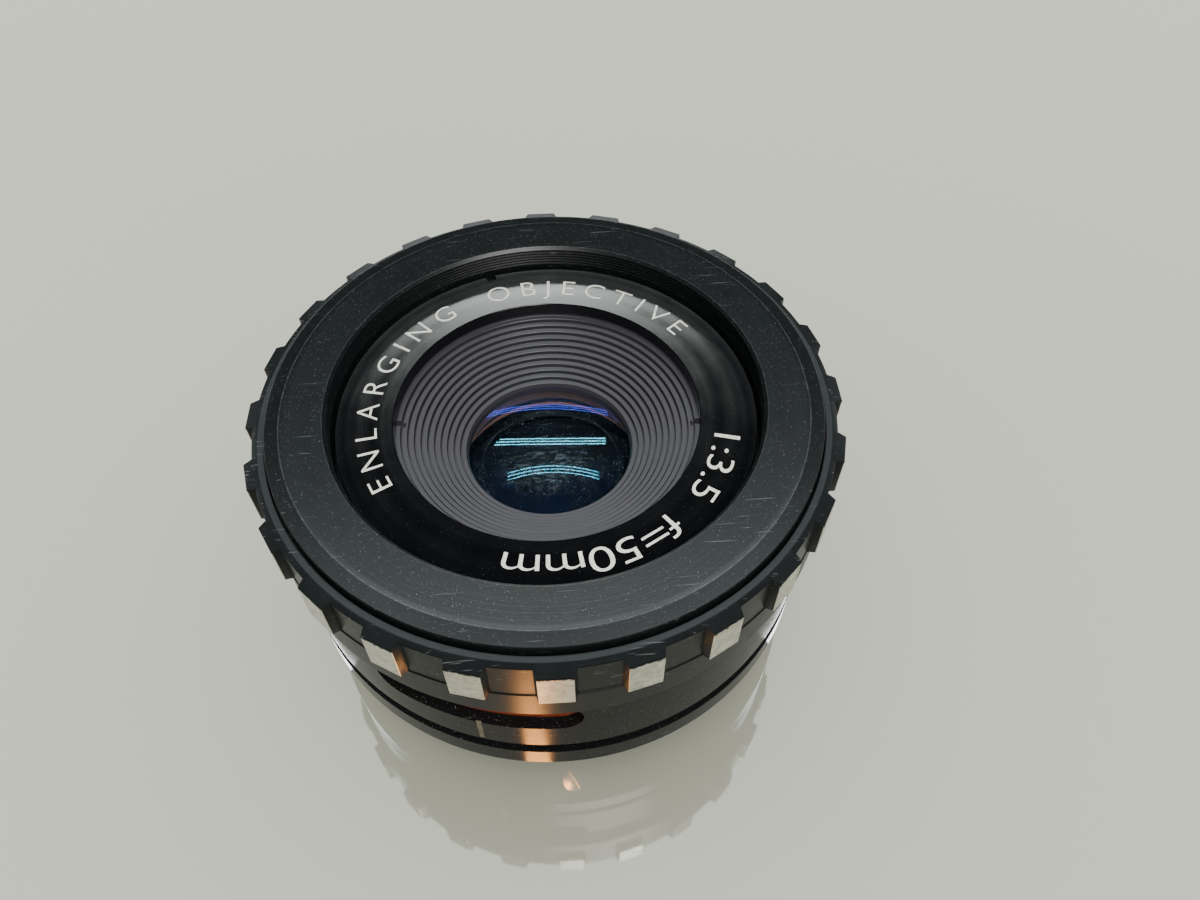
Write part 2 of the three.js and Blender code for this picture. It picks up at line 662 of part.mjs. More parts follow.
/** Front cell: holds the front and middle elements and the cone. */
function frontCell() {
  const frontBore = Math.max(FRONT_GLASS_RADIUS, MIDDLE_GLASS_RADIUS) + CLEAR;
  const middleBore = MIDDLE_GLASS_RADIUS + CLEAR;
  return turned([
    [MIDDLE_GLASS_RADIUS - CELL_LIP, Z.cellBottom],
    [R.cellNeck, Z.cellBottom],
    [R.cellNeck, Z.cellShoulder],
    [R.cell, Z.cellShoulder],
    [R.cell, Z.cellFlangeBottom],
    [R.cellFlange, Z.cellFlangeBottom],
    [R.cellFlange, Z.cellFlangeTop],
    [R.cell, Z.cellFlangeTop],
    [R.cell, Z.cellTop],
    [R.cellBore, Z.cellTop],
    [R.cellBore, Z.coneSeat - CLEAR],
    [frontBore, Z.coneSeat - CLEAR],
    [frontBore, Z.middleTop],
    [middleBore, Z.middleTop],
    [middleBore, Z.cellLip],
    [MIDDLE_GLASS_RADIUS - CELL_LIP, Z.cellLip],
  ]);
}

/** Rear cell: holds the rear element in the mount barrel. */
function rearCell() {
  const cell = turned([
    [R.rearThreadBore, Z.rearCellBottom],
    [R.rearCell, Z.rearCellBottom],
    [R.rearCell, Z.rearFlangeBottom],
    [R.rearFlange, Z.rearFlangeBottom],
    [R.rearFlange, Z.rearFlangeTop],
    [R.rearCell, Z.rearFlangeTop],
    [R.rearCell, Z.rearCellTop],
    [REAR_GLASS_RADIUS - CELL_LIP, Z.rearCellTop],
    [REAR_GLASS_RADIUS - CELL_LIP, Z.rearLip],
    [R.rearBore, Z.rearLip],
    [R.rearBore, Z.rearShelf],
    [R.rearThreadBore, Z.rearShelf],
  ]);
  const holes = around(SCREW_COUNT, CELL_SCREW_START, (angle) => {
    const [x, y] = polar(R.cellScrew, angle);
    return upright(CELL_SCREW_SHANK + SCREW_CLEAR, Z.rearFlangeBottom - 1, Z.rearFlangeTop + 1, x, y);
  });
  return cell.subtract(joined(holes));
}

/** Threaded ring that holds the rear element in, with two spanner slots. */
function rearRetainingRing() {
  const half = halfAngle(2 * SPANNER_WIDTH, R.retainer);
  const slots = [0, 180].map((angle) => bentBlock(
    R.retainer - SLOT_LENGTH, R.retainer + 1, angle - half, angle + half,
    Z.retainerBottom - 1, Z.retainerBottom + SLOT_DEPTH,
  ));
  const body = ring(
    REAR_GLASS_RADIUS - RETAINER_OVERLAP, R.retainer, Z.retainerBottom, Z.retainerTop, SMALL_STEPS,
  );
  return body.subtract(joined(slots));
}

// ------------------------------------------------------------------------ iris

/** Fixed plate under the blades, with a hole for each pivot. */
function irisBasePlate() {
  const holes = around(BLADE_COUNT, 0, (angle) => {
    const [x, y] = polar(R.pivot, angle);
    return upright(R.pinHole, Z.basePlate - 1, Z.baseTop + 1, x, y);
  });
  return ring(OPEN_APERTURE_RADIUS - CLEAR, R.coreBore - CLEAR, Z.basePlate, Z.baseTop)
    .subtract(joined(holes));
}

/** One blade, open, with its pivot pin below and its drive pin above. */
function irisBlade(angle, level) {
  const bottom = Z.firstBlade + level * BLADE_PITCH;
  const top = bottom + BLADE_THICKNESS;
  const pivot = new THREE.Vector2(R.pivot, 0);
  const pin = drivePin(0);
  const root = new THREE.Vector2(...polar((OPEN_APERTURE_RADIUS + R.bladeOuter) / 2, 6));
  const blade = joined([
    bentBlock(OPEN_APERTURE_RADIUS, R.bladeOuter, -3, BLADE_SPAN, bottom, top, 12),
    plate(strip([pivot, root], 2 * PIN_RADIUS + CLEAR), bottom, top),
    plate(strip([pin, pivot], 2 * PIN_RADIUS + CLEAR), bottom, top),
    upright(PIN_RADIUS, Z.basePlate + 0.1, bottom + BLADE_THICKNESS / 2, pivot.x, pivot.y, 8),
    upright(PIN_RADIUS, bottom + BLADE_THICKNESS / 2, Z.camWebTop - 0.1, pin.x, pin.y, 8),
  ]);
  return blade.rotate([0, 0, angle]);
}

/** Cam ring: a spiral slot for each drive pin, and a rim for the drive screw. */
function irisCamRing() {
  const blank = turned([
    [R.camInner, Z.cam],
    [R.cam, Z.cam],
    [R.cam, Z.camTop],
    [R.camRimInner, Z.camTop],
    [R.camRimInner, Z.camWebTop],
    [R.camInner, Z.camWebTop],
  ]);
  const steps = 10;
  const path = Array.from({ length: steps + 1 }, (_, i) => {
    const fraction = i / steps;
    return drivePin(fraction).rotateAround(new THREE.Vector2(), radians(-RING_TRAVEL * fraction));
  });
  const slot = plate(strip(path, R.pinHole), Z.cam - 1, Z.camWebTop + 1);
  const slots = around(BLADE_COUNT, 0, (angle) => slot.rotate([0, 0, angle]));
  const screwHole = spoke(DRIVE_SHANK + SCREW_CLEAR, R.camRimInner - 1, R.cam + 1, DRIVE_ANGLE, Z.drive);
  return blank.subtract(joined(slots)).subtract(screwHole);
}

/** Screw that makes the cam ring turn with the scale drum and the aperture ring. */
function driveScrew() {
  const headStart = R.drumInner + 0.3;
  return spoke(DRIVE_SHANK, R.camRimInner + 0.3, headStart + 0.1, DRIVE_ANGLE, Z.drive)
    .add(spoke(DRIVE_HEAD, headStart, R.drum - 0.05, DRIVE_ANGLE, Z.drive));
}

// ------------------------------------------------------------- the turning ring

/** Aperture ring: skirt, rim, gripping teeth and the click notches in its bore. */
function apertureRing() {
  const valleyTop = Z.rim - (RIM_BEVEL_DROP * (R.valley - R.rim)) / RIM_BEVEL_WIDTH;
  const blank = turned([
    [R.drumSeat, Z.skirtBottom],
    [R.skirt, Z.skirtBottom],
    [R.skirt, Z.toothBottom],
    [R.valley, Z.toothBottom],
    [R.valley, valleyTop],
    [R.rim, Z.rim],
    [R.rimInner, Z.rim],
    [R.rimInner, Z.plateBack - CLEAR],
    [R.ringBore, Z.plateBack - CLEAR],
    [R.ringBore, Z.drumSeat],
    [R.drumSeat, Z.drumSeat],
  ], TOOTHED_STEPS);
  const bevel = turned([
    [R.valley - 1, Z.toothBottom],
    [R.grip + 1, Z.toothBottom],
    [R.grip + 1, Z.toothTop - RIM_BEVEL_DROP / RIM_BEVEL_WIDTH],
    [R.rim, Z.rim],
    [R.valley - 1, Z.rim],
  ], TOOTHED_STEPS);
  const teeth = joined(around(TOOTH_COUNT, TOOTH_PHASE, gripTooth)).intersect(bevel);
  const detents = Array.from({ length: STOP_COUNT }, (_, i) => {
    const angle = BALL_ANGLE - (RING_TRAVEL * i) / (STOP_COUNT - 1);
    const [x, y] = polar(R.ringBore, angle);
    return upright(DETENT_RADIUS, Z.drumSeat - 0.5, Z.ball + BALL_RADIUS, x, y, 8);
  });
  return blank.add(teeth).subtract(joined(detents));
}

/** One gripping tooth, a little too tall: the bevel trims it. */
function gripTooth(angle) {
  const outer = radians(TOOTH_ANGLE / 2);
  const inner = radians(TOOTH_ANGLE / 2 + FLANK_ANGLE);
  const root = R.valley - 0.3;
  const corner = (radius, turn) => {
    const place = turn + radians(angle);
    return new THREE.Vector2(radius * Math.cos(place), radius * Math.sin(place));
  };
  const shape = new THREE.Shape([
    corner(root, -inner),
    corner(R.valley, -inner),
    corner(R.grip, -outer),
    corner(R.grip, 0),
    corner(R.grip, outer),
    corner(R.valley, inner),
    corner(root, inner),
  ]);
  return plate(shape, Z.toothBottom, Z.rim);
}

/** Drum with the aperture scale, under the aperture ring. */
function scaleDrum() {
  const drum = ring(R.drumInner, R.drum, Z.drumBottom, Z.drumTop);
  const shank = spoke(DRIVE_SHANK + SCREW_CLEAR, R.drumInner - 1, R.drum + 1, DRIVE_ANGLE, Z.drive);
  const sink = spoke(DRIVE_HEAD + SCREW_CLEAR, R.drumInner + 0.02, R.drum + 1, DRIVE_ANGLE, Z.drive);
  return drum.subtract(shank).subtract(sink);
}

/** Red window cemented behind the slot. */
function scaleWindow() {
  return bentBlock(
    R.windowInner, R.window, WINDOW_START - WINDOW_OVERLAP, WINDOW_END + WINDOW_OVERLAP,
    Z.windowBottom - 1, Z.bodyTop,
  );
}

/** Painted index line in its groove in the body. */
function indexMark() {
  const half = halfAngle(INDEX_WIDTH, R.body) * 0.9;
  return bentBlock(
    R.body - INDEX_DEPTH + 0.15, R.body, INDEX_ANGLE - half, INDEX_ANGLE + half,
    Z.bodyBottom + 0.1, Z.windowBottom - 0.1, 4,
  );
}

// --------------------------------------------------------- click and fasteners

/** Angle of the screw at the leaf spring's end. */
function leafScrewAngle() {
  return BALL_ANGLE - LEAF_HALF_SPAN + LEAF_SCREW_INSET;
}

/** Leaf spring behind the click ball. */
function clickLeafSpring() {
  const leaf = bentBlock(
    R.leaf - LEAF_THICKNESS, R.leaf, BALL_ANGLE - LEAF_HALF_SPAN, BALL_ANGLE + LEAF_HALF_SPAN,
    Z.ball - LEAF_WIDTH, Z.ball + LEAF_WIDTH,
  );
  const hole = spoke(LEAF_SCREW_SHANK + SCREW_CLEAR, R.leaf - 2, R.leaf + 2, leafScrewAngle(), Z.ball);
  return leaf.subtract(hole);
}

/** Screw that holds the leaf spring inside the core tube. */
function leafScrew() {
  const headOuter = R.leaf - LEAF_THICKNESS - WELD;
  return spoke(LEAF_SCREW_HEAD, headOuter - LEAF_HEAD_HEIGHT, headOuter, leafScrewAngle(), Z.ball)
    .add(spoke(LEAF_SCREW_SHANK, headOuter - WELD, R.coreBore + 1.2, leafScrewAngle(), Z.ball));
}

/** Click ball in its hole through the core tube. */
function clickBall() {
  const geometry = new THREE.SphereGeometry(BALL_RADIUS, 12, 8);
  const [x, y] = polar(R.core - BALL_RADIUS - BALL_SINK, BALL_ANGLE);
  geometry.translate(x, y, Z.ball);
  return solid(geometry);
}

/** Screw from the flange up into the body's foot. */
function flangeScrew(angle) {
  const [x, y] = polar(R.flangeScrew, angle);
  return upright(FLANGE_SCREW_HEAD, THREAD_LENGTH + HEAD_INSET, flangeHeadTop(), x, y)
    .add(upright(FLANGE_SCREW_SHANK, flangeHeadTop() - WELD, Z.footBottom + BITE, x, y));
}

/** Screw from the rear cell's flange up into the mount barrel's ledge. */
function cellScrew(angle) {
  const [x, y] = polar(R.cellScrew, angle);
  const headTop = Z.rearFlangeBottom - HEAD_INSET;
  return upright(CELL_SCREW_HEAD, headTop - HEAD_HEIGHT, headTop, x, y)
    .add(upright(CELL_SCREW_SHANK, headTop - WELD, Z.rearLedge + BITE, x, y));
}

// -------------------------------------------------------------------- assembly
addPiece('mount_barrel', mountBarrel(), 'black');
addPiece('body_shell', bodyShell(), 'black');
addPiece('core_tube', coreTube(), 'black');
addPiece('front_plate', frontPlate(), 'black');
addPiece('name_ring', nameRing(), 'satin');
addPiece('cone_baffle', coneBaffle(), 'baffle');
addPiece('front_cell', frontCell(), 'satin');
addPiece('front_element', frontElement(), 'glass');
addPiece('element_spacer', ring(
  MIDDLE_GLASS_RADIUS - CELL_LIP, FRONT_GLASS_RADIUS, Z.spacerBottom, Z.spacerTop, SMALL_STEPS,
), 'satin');
addPiece('middle_element', middleElement(), 'glass');
addPiece('rear_cell', rearCell(), 'satin');
addPiece('rear_element', rearElement(), 'glass');
addPiece('rear_retaining_ring', rearRetainingRing(), 'satin');
addPiece('iris_base_plate', irisBasePlate(), 'satin');
around(BLADE_COUNT, 0, (angle, i) => addPiece(`iris_blade_${i + 1}`, irisBlade(angle, i), 'blade'));
addPiece('iris_cam_ring', irisCamRing(), 'brass');
addPiece('cam_retaining_ring', ring(
  R.camRetainer - CAM_RETAINER_WIDTH, R.camRetainer, Z.camRetainer, Z.camRetainerTop,
), 'satin');
addPiece('drive_screw', driveScrew(), 'steel');
addPiece('aperture_ring', apertureRing(), 'black');
addPiece('scale_drum', scaleDrum(), 'satin');
addPiece('scale_window', scaleWindow(), 'red');
addPiece('index_mark', indexMark(), 'white');
addPiece('click_ball', clickBall(), 'steel');
addPiece('click_leaf_spring', clickLeafSpring(), 'steel');
addPiece('leaf_spring_screw', leafScrew(), 'steel');
around(SCREW_COUNT, FLANGE_SCREW_START, (angle, i) => {
  addPiece(`flange_screw_${i + 1}`, flangeScrew(angle), 'steel');
});
around(SCREW_COUNT, CELL_SCREW_START, (angle, i) => {
  addPiece(`cell_screw_${i + 1}`, cellScrew(angle), 'steel');
});

export default lens;
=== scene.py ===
"""Looks of a 50 mm enlarging lens that stands on its rear end.

Each sub-assembly is a class: its sizes are dataclass fields in millimetres, and its methods build the
meshes and dress them. The CAD frame is loaded first and stays where it is.
"""

import json
import logging
import math
from collections.abc import Callable
from dataclasses import dataclass
from enum import Enum

import bmesh
import bpy
from mathutils import Matrix, Vector

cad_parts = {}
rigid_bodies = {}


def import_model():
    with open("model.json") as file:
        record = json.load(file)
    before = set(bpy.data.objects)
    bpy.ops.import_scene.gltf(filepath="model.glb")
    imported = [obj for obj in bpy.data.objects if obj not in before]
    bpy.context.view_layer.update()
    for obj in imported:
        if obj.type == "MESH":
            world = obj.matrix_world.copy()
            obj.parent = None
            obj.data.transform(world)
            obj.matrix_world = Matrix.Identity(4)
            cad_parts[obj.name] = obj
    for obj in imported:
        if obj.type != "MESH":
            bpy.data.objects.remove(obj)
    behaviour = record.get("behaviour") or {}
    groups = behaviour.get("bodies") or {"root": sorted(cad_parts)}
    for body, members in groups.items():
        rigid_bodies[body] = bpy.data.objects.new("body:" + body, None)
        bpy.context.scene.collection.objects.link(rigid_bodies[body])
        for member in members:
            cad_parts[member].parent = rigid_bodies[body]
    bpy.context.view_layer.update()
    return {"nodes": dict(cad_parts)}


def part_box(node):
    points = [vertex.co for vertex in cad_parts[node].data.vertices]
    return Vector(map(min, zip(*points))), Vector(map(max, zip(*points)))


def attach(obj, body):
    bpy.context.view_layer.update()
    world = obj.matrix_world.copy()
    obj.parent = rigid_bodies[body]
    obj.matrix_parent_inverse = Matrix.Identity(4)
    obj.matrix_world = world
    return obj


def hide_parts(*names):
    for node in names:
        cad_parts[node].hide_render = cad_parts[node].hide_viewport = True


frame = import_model()

MM = 0.001  # a millimetre in metres
TINY = 1e-6  # lengths in mm below this count as nothing
SHARP = 30.0  # edges steeper than this many degrees stay sharp
CAPITAL = 0.729  # height of a capital in a font of size 1
MERGE_WITHIN = 1e-7  # metres
DUST_COLOUR = (0.55, 0.56, 0.53)
RGB = tuple[float, float, float]
Outline = list[tuple[float, float]]
Columns = list[tuple[float, float, float]]
Piece = bpy.types.Object
Group = bpy.types.Collection
Socket = bpy.types.NodeSocket
log = logging.getLogger("enlarging_lens")


class Body(Enum):
    """The CAD bodies that new pieces ride on."""

    HOUSING = "housing"
    RING = "aperture_ring"


class Slot(Enum):
    """The material slots of the part's record, one named for each new piece."""

    BLACK_ANODISED = "black_anodised"
    SATIN_BLACK = "satin_black"
    BAFFLE_GREY = "baffle_grey"
    GLASS = "coated_glass"
    BRIGHT_STEEL = "bright_steel"
    RED_PLASTIC = "red_plastic"
    WHITE_PAINT = "white_paint"


# ---------------------------------------------------------------- meshes


def polar(radius: float, angle: float, height: float) -> tuple[float, float, float]:
    """A point in metres, from a radius and height in mm and an angle in degrees."""
    turn = math.radians(angle)
    return radius * math.cos(turn) * MM, radius * math.sin(turn) * MM, height * MM


def finish_mesh(name: str, points: list, faces: list, sharp: float = SHARP) -> Piece:
    """Makes an object of points and faces, with its normals outward and its edges sharp past an angle.

    Args:
        name: the piece's name.
        points: vertices in metres.
        faces: vertex indices of each face.
        sharp: edges steeper than this many degrees stay sharp.

    Returns:
        The new object, linked to the scene.
    """
    mesh = bpy.data.meshes.new(name)
    mesh.from_pydata(points, [], faces)
    work = bmesh.new()
    work.from_mesh(mesh)
    bmesh.ops.recalc_face_normals(work, faces=work.faces)
    work.to_mesh(mesh)
    work.free()
    shade(mesh, sharp)
    piece = bpy.data.objects.new(name, mesh)
    bpy.context.scene.collection.objects.link(piece)
    return piece


def shade(mesh: bpy.types.Mesh, sharp: float) -> None:
    """Shades a mesh smooth, apart from edges steeper than an angle in degrees."""
    mesh.shade_smooth()
    mesh.set_sharp_from_angle(angle=math.radians(sharp))


def sweep(
    name: str, angles: list[float], outline_at: Callable[[float], Outline], sharp: float = SHARP
) -> Piece:
    """Sweeps a closed outline once round the optical axis.

    Args:
        name: the piece's name.
        angles: where the outline is taken, in degrees, in order round the axis.
        outline_at: gives the outline, (radius, height) in mm, at an angle. Its length never changes.
        sharp: edges steeper than this many degrees stay sharp.

    Returns:
        The closed ring or disc.
    """
    points: list = []
    shared: dict[int, int] = {}
    columns: list[list[int]] = []
    for angle in angles:
        column = []
        for place, (radius, height) in enumerate(outline_at(angle)):
            if radius < TINY:
                if place not in shared:
                    shared[place] = len(points)
                    points.append(polar(0.0, 0.0, height))
                column.append(shared[place])
            else:
                column.append(len(points))
                points.append(polar(radius, angle, height))
        columns.append(column)
    faces = []
    count = len(columns[0])
    for i, here in enumerate(columns):
        there = columns[(i + 1) % len(columns)]
        for j in range(count):
            k = (j + 1) % count
            corners = list(dict.fromkeys((here[j], there[j], there[k], here[k])))
            if len(corners) > 2:
                faces.append(corners)
    return finish_mesh(name, points, faces, sharp)


def turn(name: str, outline: Outline, steps: int = 240, sharp: float = SHARP) -> Piece:
    """Turns one closed outline on the lathe, in as many steps as asked."""
    return sweep(name, [360.0 * i / steps for i in range(steps)], lambda _: outline, sharp)


def disc(
    name: str, radius: float, low: float, high: float, x: float = 0.0, y: float = 0.0, steps: int = 32
) -> Piece:
    """A round upright plug, used as a cutter or a plain disc.

    Args:
        name: the piece's name.
        radius: its radius in mm.
        low: height of its lower face in mm.
        high: height of its upper face.
        x: how far it stands off the axis, in metres.
        y: the same, across.
        steps: how many sides it has.

    Returns:
        The plug.
    """
    piece = turn(name, [(0.0, low), (radius, low), (radius, high), (0.0, high)], steps)
    piece.data.transform(Matrix.Translation(Vector((x, y, 0.0))))
    return piece


def arc_slab(name: str, inner: float, outer: float, columns: Columns) -> Piece:
    """A slab bent round the axis, from columns of (angle, lower height, upper height).

    Args:
        name: the piece's name.
        inner: inner radius in mm.
        outer: outer radius in mm.
        columns: its heights in mm at each angle in degrees.

    Returns:
        The closed slab.
    """
    points: list = []
    for angle, low, high in columns:
        corners = ((inner, low), (outer, low), (outer, high), (inner, high))
        points += [polar(radius, angle, height) for radius, height in corners]
    faces = [[0, 1, 2, 3], [len(points) - 1 - i for i in range(4)]]
    for i in range(len(columns) - 1):
        for j in range(4):
            k = (j + 1) % 4
            faces.append([4 * i + j, 4 * i + k, 4 * i + 4 + k, 4 * i + 4 + j])
    return finish_mesh(name, points, faces)


def slot_columns(
    start: float, end: float, low: float, high: float, radius: float, steps: int = 64
) -> Columns:
    """Columns of a round-ended slot, for arc_slab.

    Args:
        start: angle of one end in degrees.
        end: angle of the other end.
        low: height of its lower side in mm.
        high: height of its upper side.
        radius: radius of the wall that it is cut in, which sets how round the ends are.
        steps: how many columns it has, less one.

    Returns:
        The columns, closest together at the ends.
    """
    middle, half = (low + high) / 2, (high - low) / 2
    cap = math.degrees(half / radius)
    columns = []
    for i in range(steps + 1):
        angle = start + (end - start) * (0.5 - 0.5 * math.cos(math.pi * i / steps))
        reach = max(0.0, start + cap - angle, angle - (end - cap)) / cap
        rise = half * math.sqrt(max(1.0 - reach * reach, 0.0004))
        columns.append((angle, middle - rise, middle + rise))
    return columns


def block_columns(start: float, end: float, low: float, high: float, steps: int = 24) -> Columns:
    """Columns of a plain bent block, for arc_slab."""
    return [(start + (end - start) * i / steps, low, high) for i in range(steps + 1)]


def cut(target: Piece, cutters: list[Piece], sharp: float = SHARP) -> None:
    """Takes cutters away from a piece and removes them.

    Args:
        target: the piece that is cut.
        cutters: closed pieces, all removed afterwards.
        sharp: edges steeper than this many degrees stay sharp.
    """
    for cutter in cutters:
        tool = target.modifiers.new("cut", "BOOLEAN")
        tool.operation = "DIFFERENCE"
        tool.solver = "EXACT"
        tool.object = cutter
    bpy.context.view_layer.update()
    state = target.evaluated_get(bpy.context.evaluated_depsgraph_get())
    mesh = bpy.data.meshes.new_from_object(state)
    target.modifiers.clear()
    target.data = mesh
    shade(mesh, sharp)
    for cutter in cutters:
        bpy.data.objects.remove(cutter)


def written(name: str, text: str, spacing: float, weight: float) -> bpy.types.Mesh:
    """A line of text as a mesh of flat letters.

    Args:
        name: the mesh's name.
        text: what is written.
        spacing: how far apart the letters stand, where 1 is plain.
        weight: how much the strokes grow, in parts of the letter size.

    Returns:
        Letters of size 1, 1 deep.
    """
    words = bpy.data.curves.new(name, "FONT")
    words.body = text
    words.size = 1.0
    words.space_character = spacing
    words.offset = weight
    words.resolution_u = 5
    words.extrude = 0.5
    source = bpy.data.objects.new(name + "_source", words)
    bpy.context.scene.collection.objects.link(source)
    bpy.context.view_layer.update()
    mesh = bpy.data.meshes.new_from_object(source.evaluated_get(bpy.context.evaluated_depsgraph_get()))
    bpy.data.objects.remove(source)
    return mesh


def lettering(
    name: str, text: str, height: float, radius: float, start: float, end: float,
    top: float, depth: float, weight: float = 0.0, widen: float = 1.0,
) -> Piece:
    """Letters that run clockwise round the axis, tops outward.

    Args:
        name: the piece's name.
        text: what is written.
        height: height of a capital in mm.
        radius: radius of the baseline in mm.
        start: angle of the first letter's left side in degrees.
        end: angle of the last letter's right side in degrees.
        top: height of the upper face in mm.
        depth: how deep the letters go in mm.
        weight: how much the strokes grow, in parts of the letter size.
        widen: how much wider than plain the letters are.

    Returns:
        The letters as one mesh.
    """
    scale = height / CAPITAL
    middle = radius + height / 2
    wanted = math.radians(start - end) * middle / scale / widen
    spans = [max(v.co.x for v in written(name, text, spacing, weight).vertices) for spacing in (1.0, 2.0)]
    mesh = written(name, text, 1.0 + (wanted - spans[0]) / (spans[1] - spans[0]), weight)
    for vertex in mesh.vertices:
        x, y, z = vertex.co
        angle = start - math.degrees(x * widen * scale / middle)
        vertex.co = polar(radius + y * scale, angle, top - depth * (0.5 - z))
    piece = bpy.data.objects.new(name, mesh)
    bpy.context.scene.collection.objects.link(piece)
    work = bmesh.new()
    work.from_mesh(mesh)
    bmesh.ops.remove_doubles(work, verts=work.verts, dist=MERGE_WITHIN)
    bmesh.ops.recalc_face_normals(work, faces=work.faces)
    work.to_mesh(mesh)
    work.free()
    return piece


# ---------------------------------------------------------------- finishes


class Graph:
    """A new material's nodes, with short calls to add and join them. Lengths in it are millimetres."""

    def __init__(self, name: str) -> None:
        """Starts a material with its principled shader joined up.

        Args:
            name: the material's name.
        """
        self.material = bpy.data.materials.new(name)
        self.material.use_nodes = True
        self.tree = self.material.node_tree
        self.shader = self.tree.nodes["Principled BSDF"]
        self.output = self.tree.nodes["Material Output"]
        self._place: Socket | None = None

    def add(self, kind: str, **settings: object) -> bpy.types.Node:
        """Adds a node and sets its properties.

        Args:
            kind: the node's type.
            **settings: properties of the node and their values.

        Returns:
            The node.
        """
        node = self.tree.nodes.new(kind)
        for key, value in settings.items():
            setattr(node, key, value)
        return node

    def join(self, source: object, target: Socket) -> None:
        """Links a socket into another, or sets a plain value on it.

        Args:
            source: a socket, or a plain value.
            target: the socket that gets it.
        """
        if isinstance(source, bpy.types.NodeSocket):
            self.tree.links.new(source, target)
        else:
            target.default_value = source

    def math(
        self, operation: str, first: object, second: object = 0.0, third: object = 0.0, clamp: bool = False
    ) -> Socket:
        """One step of arithmetic, on sockets or plain numbers.

        Args:
            operation: what is done.
            first: a socket or number.
            second: another one.
            third: a third one, for operations that use it.
            clamp: keeps the result between 0 and 1.

        Returns:
            The result.
        """
        node = self.add("ShaderNodeMath", operation=operation, use_clamp=clamp)
        for place, value in enumerate((first, second, third)):
            self.join(value, node.inputs[place])
        return node.outputs[0]

    def times(self, first: object, second: object) -> Socket:
        """One value times another."""
        return self.math("MULTIPLY", first, second)

    def fused(self, first: object, second: object, third: object) -> Socket:
        """One value times another, plus a third."""
        return self.math("MULTIPLY_ADD", first, second, third)

    def place(self) -> Socket:
        """The point on the piece, in millimetres in the row frame.

        Returns:
            The point as a vector.
        """
        if self._place is None:
            coordinates = self.add("ShaderNodeTexCoord")
            scale = self.add("ShaderNodeVectorMath", operation="SCALE")
            self.join(coordinates.outputs["Object"], scale.inputs[0])
            scale.inputs["Scale"].default_value = 1.0 / MM
            self._place = scale.outputs[0]
        return self._place

    def radius_and_height(self) -> tuple[Socket, Socket]:
        """Distance from the optical axis, and height over the rear rim, in millimetres.

        Returns:
            The two distances.
        """
        parts = self.add("ShaderNodeSeparateXYZ")
        self.join(self.place(), parts.inputs[0])
        total = self.fused(parts.outputs[1], parts.outputs[1], self.times(parts.outputs[0], parts.outputs[0]))
        return self.math("SQRT", total), parts.outputs[2]

    def vector(self, x: object, y: object, z: object = 0.0) -> Socket:
        """Three values as one vector.

        Args:
            x: the first value, a socket or number.
            y: the second value.
            z: the third value.

        Returns:
            The vector.
        """
        node = self.add("ShaderNodeCombineXYZ")
        for place, value in enumerate((x, y, z)):
            self.join(value, node.inputs[place])
        return node.outputs[0]

    def noise(self, vector: Socket, scale: float, detail: float = 2.0, rough: float = 0.5) -> Socket:
        """Noise between 0 and 1 with features of about 1/scale mm.

        Args:
            vector: where the noise is taken.
            scale: how fine it is.
            detail: how many finer layers it has.
            rough: how strong they are.

        Returns:
            The noise.
        """
        node = self.add("ShaderNodeTexNoise")
        self.join(vector, node.inputs["Vector"])
        node.inputs["Scale"].default_value = scale
        node.inputs["Detail"].default_value = detail
        node.inputs["Roughness"].default_value = rough
        return node.outputs["Fac"]

    def grain(self, scale: float, detail: float = 2.0, rough: float = 0.5) -> Socket:
        """Noise at the point on the piece, with features of about 1/scale mm."""
        return self.noise(self.place(), scale, detail, rough)

    def band(self, value: object, low: float, high: float) -> Socket:
        """0 below low, 1 above high, and a straight slope between, in either order.

        Args:
            value: what is measured.
            low: where the slope starts.
            high: where it ends.

        Returns:
            A value between 0 and 1.
        """
        node = self.add("ShaderNodeMapRange", clamp=True)
        self.join(value, node.inputs["Value"])
        node.inputs["From Min"].default_value = low
        node.inputs["From Max"].default_value = high
        return node.outputs[0]

    def stretched(self, turn_by: float, long: float, across: float) -> Socket:
        """Coordinates turned in the plane and squeezed, for long thin marks.

        Args:
            turn_by: the turn in degrees.
            long: features per mm along the marks.
            across: features per mm across them.

        Returns:
            The coordinates.
        """
        node = self.add("ShaderNodeMapping")
        self.join(self.place(), node.inputs["Vector"])
        node.inputs["Rotation"].default_value = (0.0, 0.0, math.radians(turn_by))
        node.inputs["Scale"].default_value = (long, across, across)
        return node.outputs[0]

    def scratches(self, amount: float) -> Socket:
        """Sparse fine scratches in a few directions, 0 to 1.

        Args:
            amount: 0 for few scratches, 1 for many.

        Returns:
            Where the scratches are.
        """
        marks: Socket | float = 0.0
        for turn_by, seed in ((17.0, 0.21), (74.0, 0.16), (128.0, 0.25)):
            streak = self.noise(self.stretched(turn_by, seed, 6.0), 1.0, 1.0)
            line = self.band(streak, 0.72 - amount * 0.06, 0.78 - amount * 0.04)
            where = self.band(self.noise(self.stretched(turn_by + 40.0, 0.13, 0.2), 1.0, 1.0), 0.5, 0.62)
            marks = self.fused(line, where, marks)
        return self.math("MINIMUM", marks, 1.0)

    def specks(self, size: float, level: float) -> Socket:
        """Dust specks of about a size in mm, more of them at a lower level."""
        return self.band(self.grain(1.0 / size, 1.0, 0.4), level, level + 0.05)

    def blend(self, amount: object, first: Socket | RGB, second: Socket | RGB) -> Socket:
        """Mixes two colours, each one a socket or a plain colour.

        Args:
            amount: how much of the second colour, 0 to 1.
            first: the first colour.
            second: the second colour.

        Returns:
            The mixed colour.
        """
        node = self.add("ShaderNodeMix", data_type="RGBA")
        self.join(amount, node.inputs["Factor"])
        for place, colour in ((6, first), (7, second)):
            self.join((*colour, 1.0) if isinstance(colour, tuple) else colour, node.inputs[place])
        return node.outputs[2]

